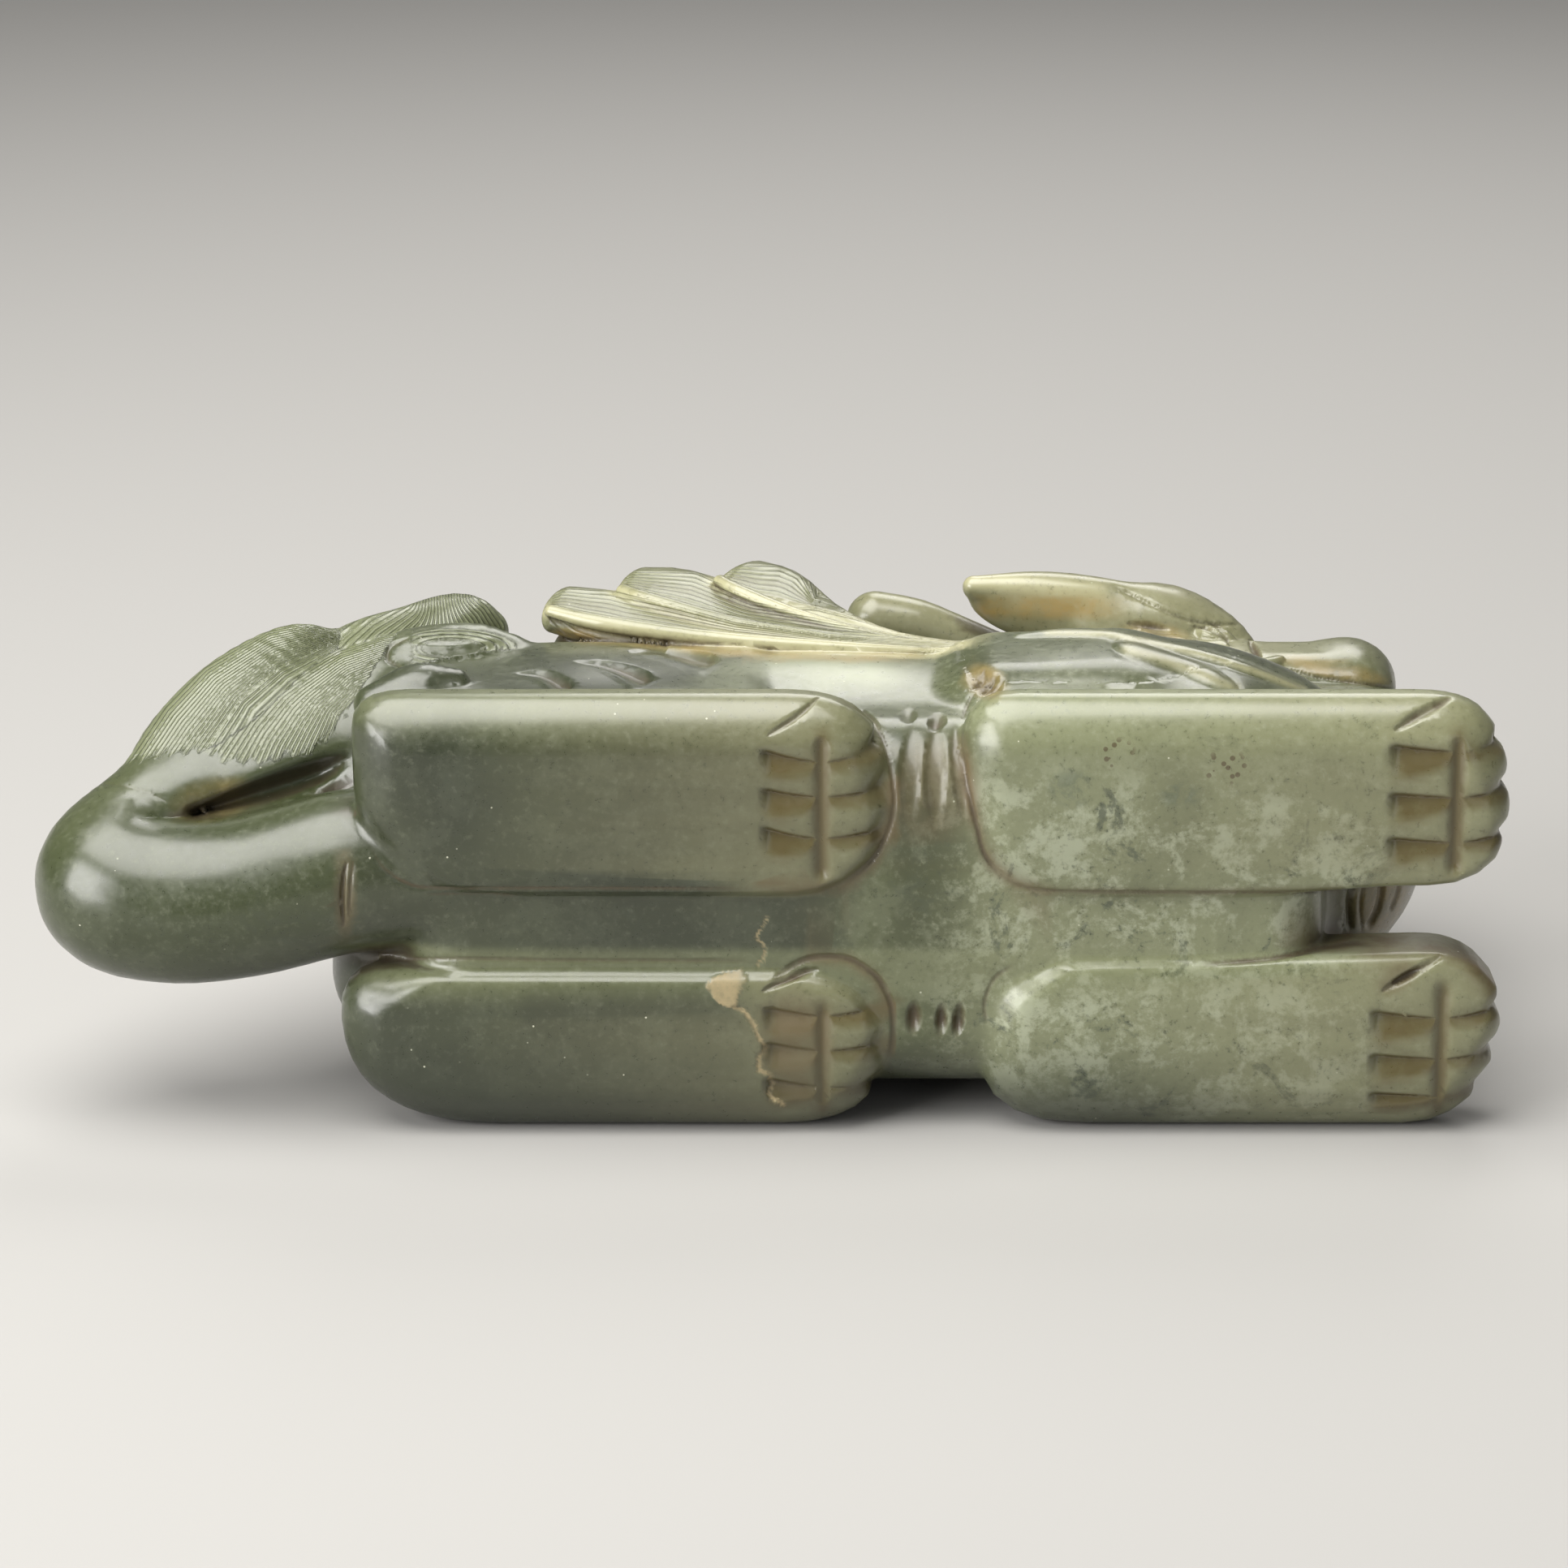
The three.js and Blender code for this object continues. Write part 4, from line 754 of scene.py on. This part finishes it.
line_on = lambda pts, r: np.exp(-(along(q1, pts)[0] / r) ** 2)
cream = np.clip(.55 * head + wing * (.3 + .85 * np.clip(rib, 0, 1)) + .8 * line_on([(1193, 714), (1240, 719), (1300, 725), (1352, 731)], 10) * (y > 76)
    + (.65 * line_on([(1290, 779), (1364, 781), (1418, 791), (1494, 810), (1552, 829), (1606, 850)], 4.5)
    + .6 * line_on([(1388, 800), (1418, 808), (1468, 825), (1522, 848)], 7)) * (y < 48) * (M[:, 2] > 48), 0, 1)
ear_in = smooth(1192, 1215, q1[:, 0]) * smooth(1400, 1340, q1[:, 0]) * smooth(728, 742, q1[:, 1]) * smooth(768, 755, q1[:, 1]) * (y > 70)
under = np.exp(-((along(q1, [(715, 786), (766, 790), (860, 799), (960, 808), (1060, 812), (1150, 806)])[0]) / 6.5) ** 2) * (y > 34) * (y < 58) * smooth(1170, 1080, q1[:, 0])
amber = np.clip(.6 * patch(q1, (1214, 840), (34, 24), 28) * flank * (y > 5) * (y < 42) + .95 * ear_in
    + .55 * patch(q1, (1425, 780), (48, 16), 10) * (y > 62) + .6 * patch(q1, (1645, 826), (78, 14), 12) * (y > 60)
    + .8 * patch(q1, (708, 780), (34, 9), 0) * (y > 36) * (y < 60) + .75 * under
    + .35 * patch(q0, (262, 985), (60, 30), -12) * (y > 10) + .75 * patch(q0, (1705, 1115), (48, 60), 0) * (y > 12) * (y < 64), 0, 1)
brown_on = lambda pts, r: np.exp(-(along(q0, pts)[0] / r) ** 2)
brown = np.clip(1.0 * brown_on([(1692, 1166), (1740, 1162), (1783, 1166), (1812, 1182), (1842, 1218)], 15) * (z < 31) * (y < 14)
    + .8 * brown_on([(1185, 912), (1190, 950), (1197, 990), (1207, 1030), (1222, 1065), (1250, 1088), (1290, 1099)], 9) * (y < 16)
    + .75 * brown_on([(936, 1086), (980, 1094), (1040, 1093), (1078, 1062), (1096, 1020), (1101, 960)], 8) * (y < 16)
    + .7 * brown_on([(1000, 1180), (1045, 1183), (1078, 1204), (1096, 1240)], 8) * (y < 16) + .5 * brown_on([(1300, 1098), (1480, 1099), (1650, 1095)], 5) * (y < 16) + .55 * patch(q0, (1720, 1205), (34, 22), -35) * (z < 31)
    + .7 * smooth(1, -3, along(q0, EDGE)[0] * along(q0, EDGE)[2] * .1) * patch(q0, (975, 1292), (58, 78), 0) * (z < 26) * (y < 9)
    + .5 * patch(q0, (1150, 975), (66, 80), 0) * right * (y < 30) + .5 * patch(q0, (1790, 980), (90, 110), 0) * smooth(.1, .5, c3) * (z > 30)
    + .5 * patch(q0, (1790, 1265), (90, 110), 0) * smooth(.1, .5, c3) * (z < 31) + .5 * patch(q0, (1010, 975), (80, 110), 0) * smooth(.1, .5, c3)
    + .6 * patch(q0, (425, 1100), (16, 70), 0) * (y < 34)
    + .75 * patch(q0, (1640, 1160), (74, 16), -2) * (z < 34) * (y < 22) + .35 * patch(q0, (1650, 1130), (26, 44), 0) * (y > 4), 0, 1)
light = np.clip(patch(q1, (985, 835), (150, 34), -3) * flank * (y > 12) * (y < 50), 0, 1)
for name, val in dict(dirt=dirt, recess_shade=recess_shade, cream=cream, amber=amber, brown=brown, tan=tan, cut=cut, light=light, strand=strand, amount=amount, paw=paw).items():
    a = me.attributes.new(name, 'FLOAT', 'POINT'); a.data.foreach_set('value', np.asarray(val, np.float32))

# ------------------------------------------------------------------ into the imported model's frame, in metres
Y = ((X.astype(np.float64) + SHIFT) / 1000)
me.vertices.foreach_set('co', Y.ravel()); me.update()
me.normals_split_custom_set_from_vertices(NN.astype(np.float64).tolist())

# ------------------------------------------------------------------ jade
def node(nt, kind, at, **vals):
    n = nt.nodes.new(kind); n.location = at
    for k, val in vals.items():
        if k in n.inputs: n.inputs[k].default_value = val
        else: setattr(n, k, val)
    return n

jade = bpy.data.materials.new('jade'); jade.use_nodes = True
nt = jade.node_tree; nt.nodes.clear(); L = nt.links.new
out = node(nt, 'ShaderNodeOutputMaterial', (1800, 0)); bsdf = node(nt, 'ShaderNodeBsdfPrincipled', (1500, 0)); L(bsdf.outputs[0], out.inputs[0])
co = node(nt, 'ShaderNodeTexCoord', (-1600, 0)).outputs['Object']
def attr(name): return node(nt, 'ShaderNodeAttribute', (-1600, -300), attribute_name=name).outputs['Fac']
def noise(scale, detail=4, rough=.55, dist=0.0, vec=None):
    n = node(nt, 'ShaderNodeTexNoise', (-1300, 0)); n.inputs['Scale'].default_value = scale; n.inputs['Detail'].default_value = detail
    n.inputs['Roughness'].default_value = rough; n.inputs['Distortion'].default_value = dist; L(vec or co, n.inputs['Vector']); return n.outputs['Fac']
def ramp(x, a, b, lo=0.0, hi=1.0):
    n = node(nt, 'ShaderNodeMapRange', (-1000, 0)); n.interpolation_type = 'SMOOTHSTEP'
    n.inputs['From Min'].default_value = a; n.inputs['From Max'].default_value = b; n.inputs['To Min'].default_value = lo; n.inputs['To Max'].default_value = hi
    L(x, n.inputs['Value']); return n.outputs['Result']
def mixc(f, a, b, kind='MIX'):
    n = node(nt, 'ShaderNodeMix', (-600, 0)); n.data_type = 'RGBA'; n.blend_type = kind; n.clamp_factor = True
    for s, k in ((f, 0), (a, 6), (b, 7)):
        if isinstance(s, (int, float)): n.inputs[k].default_value = s
        elif isinstance(s, tuple): n.inputs[k].default_value = (*s, 1) if len(s) == 3 else s
        else: L(s, n.inputs[k])
    return n.outputs[2]
def m(op, a, b=0.0, c=0.0):
    n = node(nt, 'ShaderNodeMath', (-800, 0)); n.operation = op
    for s, k in ((a, 0), (b, 1), (c, 2)):
        if isinstance(s, (int, float)): n.inputs[k].default_value = s
        else: L(s, n.inputs[k])
    return n.outputs[0]

# where on the beast a point lies, in mm of the working frame
place = node(nt, 'ShaderNodeVectorMath', (-1500, -200)); place.operation = 'MULTIPLY_ADD'; L(co, place.inputs[0])
place.inputs[1].default_value = (1000, 1000, 1000); place.inputs[2].default_value = tuple(-SHIFT)
axes = node(nt, 'ShaderNodeSeparateXYZ', (-1400, -200)); L(place.outputs[0], axes.inputs[0]); sx, sy, sz = axes.outputs
def times(*a):
    r = a[0]
    for t in a[1:]: r = m('MULTIPLY', r, t)
    return r
def spot(cx, cz, rx, rz):
    """a soft round area on the soles"""
    dx = m('DIVIDE', m('SUBTRACT', sx, cx), rx); dz = m('DIVIDE', m('SUBTRACT', sz, cz), rz)
    return times(ramp(m('ADD', m('MULTIPLY', dx, dx), m('MULTIPLY', dz, dz)), 1.0, .2), ramp(sy, 2.5, 1.0))
clouds = noise(40, 3, .5, .5); patches = noise(150, 9, .72, .25); blots = noise(118, 8, .7, .9)
grain = noise(900, 4, .65); wide = noise(16, 2, .5)
line = m('MULTIPLY', m('SMOOTH_MIN', 1.0, m('DIVIDE', m('PINGPONG', attr('strand'), .5), .22), .3), attr('amount'))
hind = times(ramp(sx, 14, 0), ramp(sy, 44, 24)); tail = ramp(sx, -56, -64)
fore = times(ramp(sx, 18, 32), ramp(sy, 26, 10))
paw = attr('paw')
head = times(ramp(sy, 62, 70), ramp(sx, 4, 12))
col = mixc(ramp(clouds, .36, .64), (.066, .077, .034), (.104, .119, .058))
col = mixc(times(hind, ramp(clouds, .7, .3, .6, 1.0)), col, (.034, .041, .020))
col = mixc(m('MULTIPLY', tail, .8), col, (.062, .078, .025))
col = mixc(times(fore, ramp(clouds, .3, .6, .55, 1.0)), col, (.235, .253, .152))
col = mixc(times(attr('light'), ramp(clouds, .3, .6, .5, .9)), col, (.36, .39, .26))
# cloudy patches with grainy edges: strongest on the lower halves of the forelegs and on the belly in front
cloudy = times(ramp(sx, 16, 34), ramp(sx, 92, 76), ramp(sy, 12, 5), m('MAXIMUM', ramp(sz, 57, 49), ramp(sz, 26, 22)))
grit = m('ADD', patches, m('MULTIPLY', m('SUBTRACT', grain, .5), .22))
pale = m('MULTIPLY', ramp(grit, .46, .60), m('ADD', m('ADD', .10, m('MULTIPLY', hind, -.02)), m('MULTIPLY', cloudy, .72)))
col = mixc(pale, col, (.42, .45, .34))
dark = m('MULTIPLY', ramp(m('ADD', blots, m('MULTIPLY', m('SUBTRACT', grain, .5), .25)), .45, .34), m('ADD', .25, m('MULTIPLY', cloudy, .55)))
col = mixc(dark, col, (.075, .092, .062))
col = mixc(times(ramp(wide, .42, .6), tail, .5), col, (.170, .19, .092))
# painted light: the upper bands of the legs are painted paler, as lit from above
painted_lit_band = times(m('MAXIMUM', ramp(sz, 57, 63), times(ramp(sz, 19, 24), ramp(sz, 29, 27))), ramp(sy, 14, 9), m('SUBTRACT', 1.0, tail))
col = mixc(m('MULTIPLY', painted_lit_band, .45), col, (.25, .27, .155))
col = mixc(times(hind, m('SUBTRACT', 1.0, painted_lit_band), m('SUBTRACT', 1.0, paw), .42), col, (.030, .038, .021))
col = mixc(m('MULTIPLY', paw, .6), col, (.27, .262, .155))
col = mixc(m('MULTIPLY', attr('cream'), .88), col, (.50, .475, .30))
col = mixc(m('MULTIPLY', ramp(grain, .52, .74, 0, .20), m('SUBTRACT', 1.0, m('MULTIPLY', m('MAXIMUM', hind, tail), .55))), col, (.42, .44, .33)); col = mixc(ramp(grain, .48, .28, 0, .26), col, (.04, .048, .03))
# painted shade and highlight: the hair's cuts are painted darker and its strands paler
col = mixc(m('MULTIPLY', m('SUBTRACT', attr('amount'), line), .5), col, (.050, .057, .026)); col = mixc(m('MULTIPLY', line, .36), col, (.38, .41, .26))
col = mixc(m('MINIMUM', times(attr('cut'), ramp(grit, .36, .6, .75, 1.1), 1.3), .95), col, (.112, .086, .030))
col = mixc(times(attr('amber'), ramp(patches, .38, .6, .45, .95)), col, (.36, .25, .085))
col = mixc(m('MULTIPLY', attr('brown'), ramp(patches, .36, .58, .55, 1.0)), col, (.135, .098, .042))
dirtm = m('MULTIPLY', attr('dirt'), ramp(noise(420, 5, .7), .34, .6, .5, 1.0))
col = mixc(dirtm, col, (.085, .060, .027))
# painted shade in deep recesses
col = mixc(m('MULTIPLY', attr('recess_shade'), .6), col, (.058, .043, .028))
# painted shade: parts near the ground are painted darker, less at the front and on the paws
low = times(ramp(sz, 18, 4), m('ADD', .35, m('MULTIPLY', ramp(sx, 76, 46), .65)), m('SUBTRACT', 1.0, m('MULTIPLY', paw, .6)))
col = mixc(m('MULTIPLY', low, .82), col, (.030, .038, .021))
# specks of brown on the right foreleg, dark blots, dust
vor = node(nt, 'ShaderNodeTexVoronoi', (-1300, -600)); vor.inputs['Scale'].default_value = 900; L(co, vor.inputs['Vector'])
bits = m('LESS_THAN', vor.outputs['Distance'], .33)
col = mixc(times(m('MAXIMUM', spot(45.4, 56.9, 3.2, 2.6), spot(60.4, 55.0, 4.2, 3.0)), bits, .75), col, (.09, .06, .03))
col = mixc(times(m('MAXIMUM', spot(54.4, 51.0, 3.4, 2.4), spot(39.5, 52.0, 4.0, 3.2)), ramp(patches, .4, .5), .5), col, (.10, .125, .085))
dust = node(nt, 'ShaderNodeTexVoronoi', (-1300, -700)); dust.inputs['Scale'].default_value = 420; L(co, dust.inputs['Vector'])
col = mixc(times(m('LESS_THAN', dust.outputs['Distance'], .06), ramp(noise(160, 2), .54, .66), .8), col, (.72, .72, .60))
col = mixc(times(attr('tan'), ramp(grain, .3, .6, .7, 1.0)), col, (.40, .32, .18))
col = mixc(1.0, col, (.74, .74, .69), 'MULTIPLY')
L(col, bsdf.inputs['Base Color'])
rough = m('ADD', ramp(grain, .3, .7, .27, .38), m('MULTIPLY', m('MAXIMUM', attr('dirt'), m('MAXIMUM', attr('tan'), attr('brown'))), .3)); L(rough, bsdf.inputs['Roughness'])
bsdf.inputs['IOR'].default_value = 1.55
bsdf.inputs['Subsurface Weight'].default_value = .15
bsdf.inputs['Subsurface Radius'].default_value = (.9, 1.0, .65); bsdf.inputs['Subsurface Scale'].default_value = .0025
bsdf.inputs['Coat Weight'].default_value = .35; bsdf.inputs['Coat Roughness'].default_value = .2
# bump: hair strands, then the polish's slight unevenness
b1 = node(nt, 'ShaderNodeBump', (1100, -300)); b1.inputs['Strength'].default_value = 1.0; b1.inputs['Distance'].default_value = .0002; L(line, b1.inputs['Height'])
b2 = node(nt, 'ShaderNodeBump', (1250, -300)); b2.inputs['Strength'].default_value = .3; b2.inputs['Distance'].default_value = .00009
L(m('ADD', m('MULTIPLY', grain, .35), m('MULTIPLY', noise(140, 3), 1.6)), b2.inputs['Height']); L(b1.outputs[0], b2.inputs['Normal']); L(b2.outputs[0], bsdf.inputs['Normal'])
me.materials.append(jade)

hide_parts('jade_dragon')
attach(dragon, 'root')

# ------------------------------------------------------------------ floor, light, camera
fm = bpy.data.meshes.new('floor'); s = 6.0
fm.from_pydata([(-s, -s, 0), (s, -s, 0), (s, s, 0), (-s, s, 0)], [], [(0, 1, 2, 3)])
floor = bpy.data.objects.new('floor', fm); bpy.context.scene.collection.objects.link(floor)
pale = bpy.data.materials.new('pale_floor'); pale.use_nodes = True; pb = pale.node_tree.nodes['Principled BSDF']
pb.inputs['Base Color'].default_value = (.36, .353, .342, 1); pb.inputs['Roughness'].default_value = .9
fm.materials.append(pale)

world = bpy.data.worlds.new('world'); bpy.context.scene.world = world; world.use_nodes = True
world.node_tree.nodes['Background'].inputs[0].default_value = (.84, .84, .83, 1); world.node_tree.nodes['Background'].inputs[1].default_value = .17
def area(name, at, to, power, size, tint=(1, 1, 1)):
    l = bpy.data.lights.new(name, 'AREA'); l.energy = power; l.size = size; l.color = tint
    o = bpy.data.objects.new(name, l); o.location = at; o.rotation_euler = (Vector(to) - Vector(at)).to_track_quat('-Z', 'Y').to_euler()
    bpy.context.scene.collection.objects.link(o); return o
mid = (0, 0, .03)
area('key', (-.22, -.16, .92), mid, 16, .85, (1, .985, .95))
area('left', (-.86, -.66, .42), mid, 16, .75, (1, .99, .97))
area('fill', (.55, -.95, .35), mid, .8, .6, (.97, .98, 1))
area('back', (.15, .75, .75), mid, 3.5, .5, (1, .98, .95))

cam = bpy.data.cameras.new('camera'); camo = bpy.data.objects.new('camera', cam); bpy.context.scene.collection.objects.link(camo)
cam.sensor_fit = 'HORIZONTAL'; cam.sensor_width = 36.0; cam.lens = FOCAL / 1932 * 36; cam.clip_end = 20; cam.clip_start = .01
camo.location = ((SHIFT + np.array([0, -AWAY, ABOVE])) / 1000).tolist(); camo.rotation_euler = (math.radians(90) - TILT, 0, 0)
bpy.context.scene.camera = camo
bpy.context.scene.view_settings.view_transform = 'Standard'
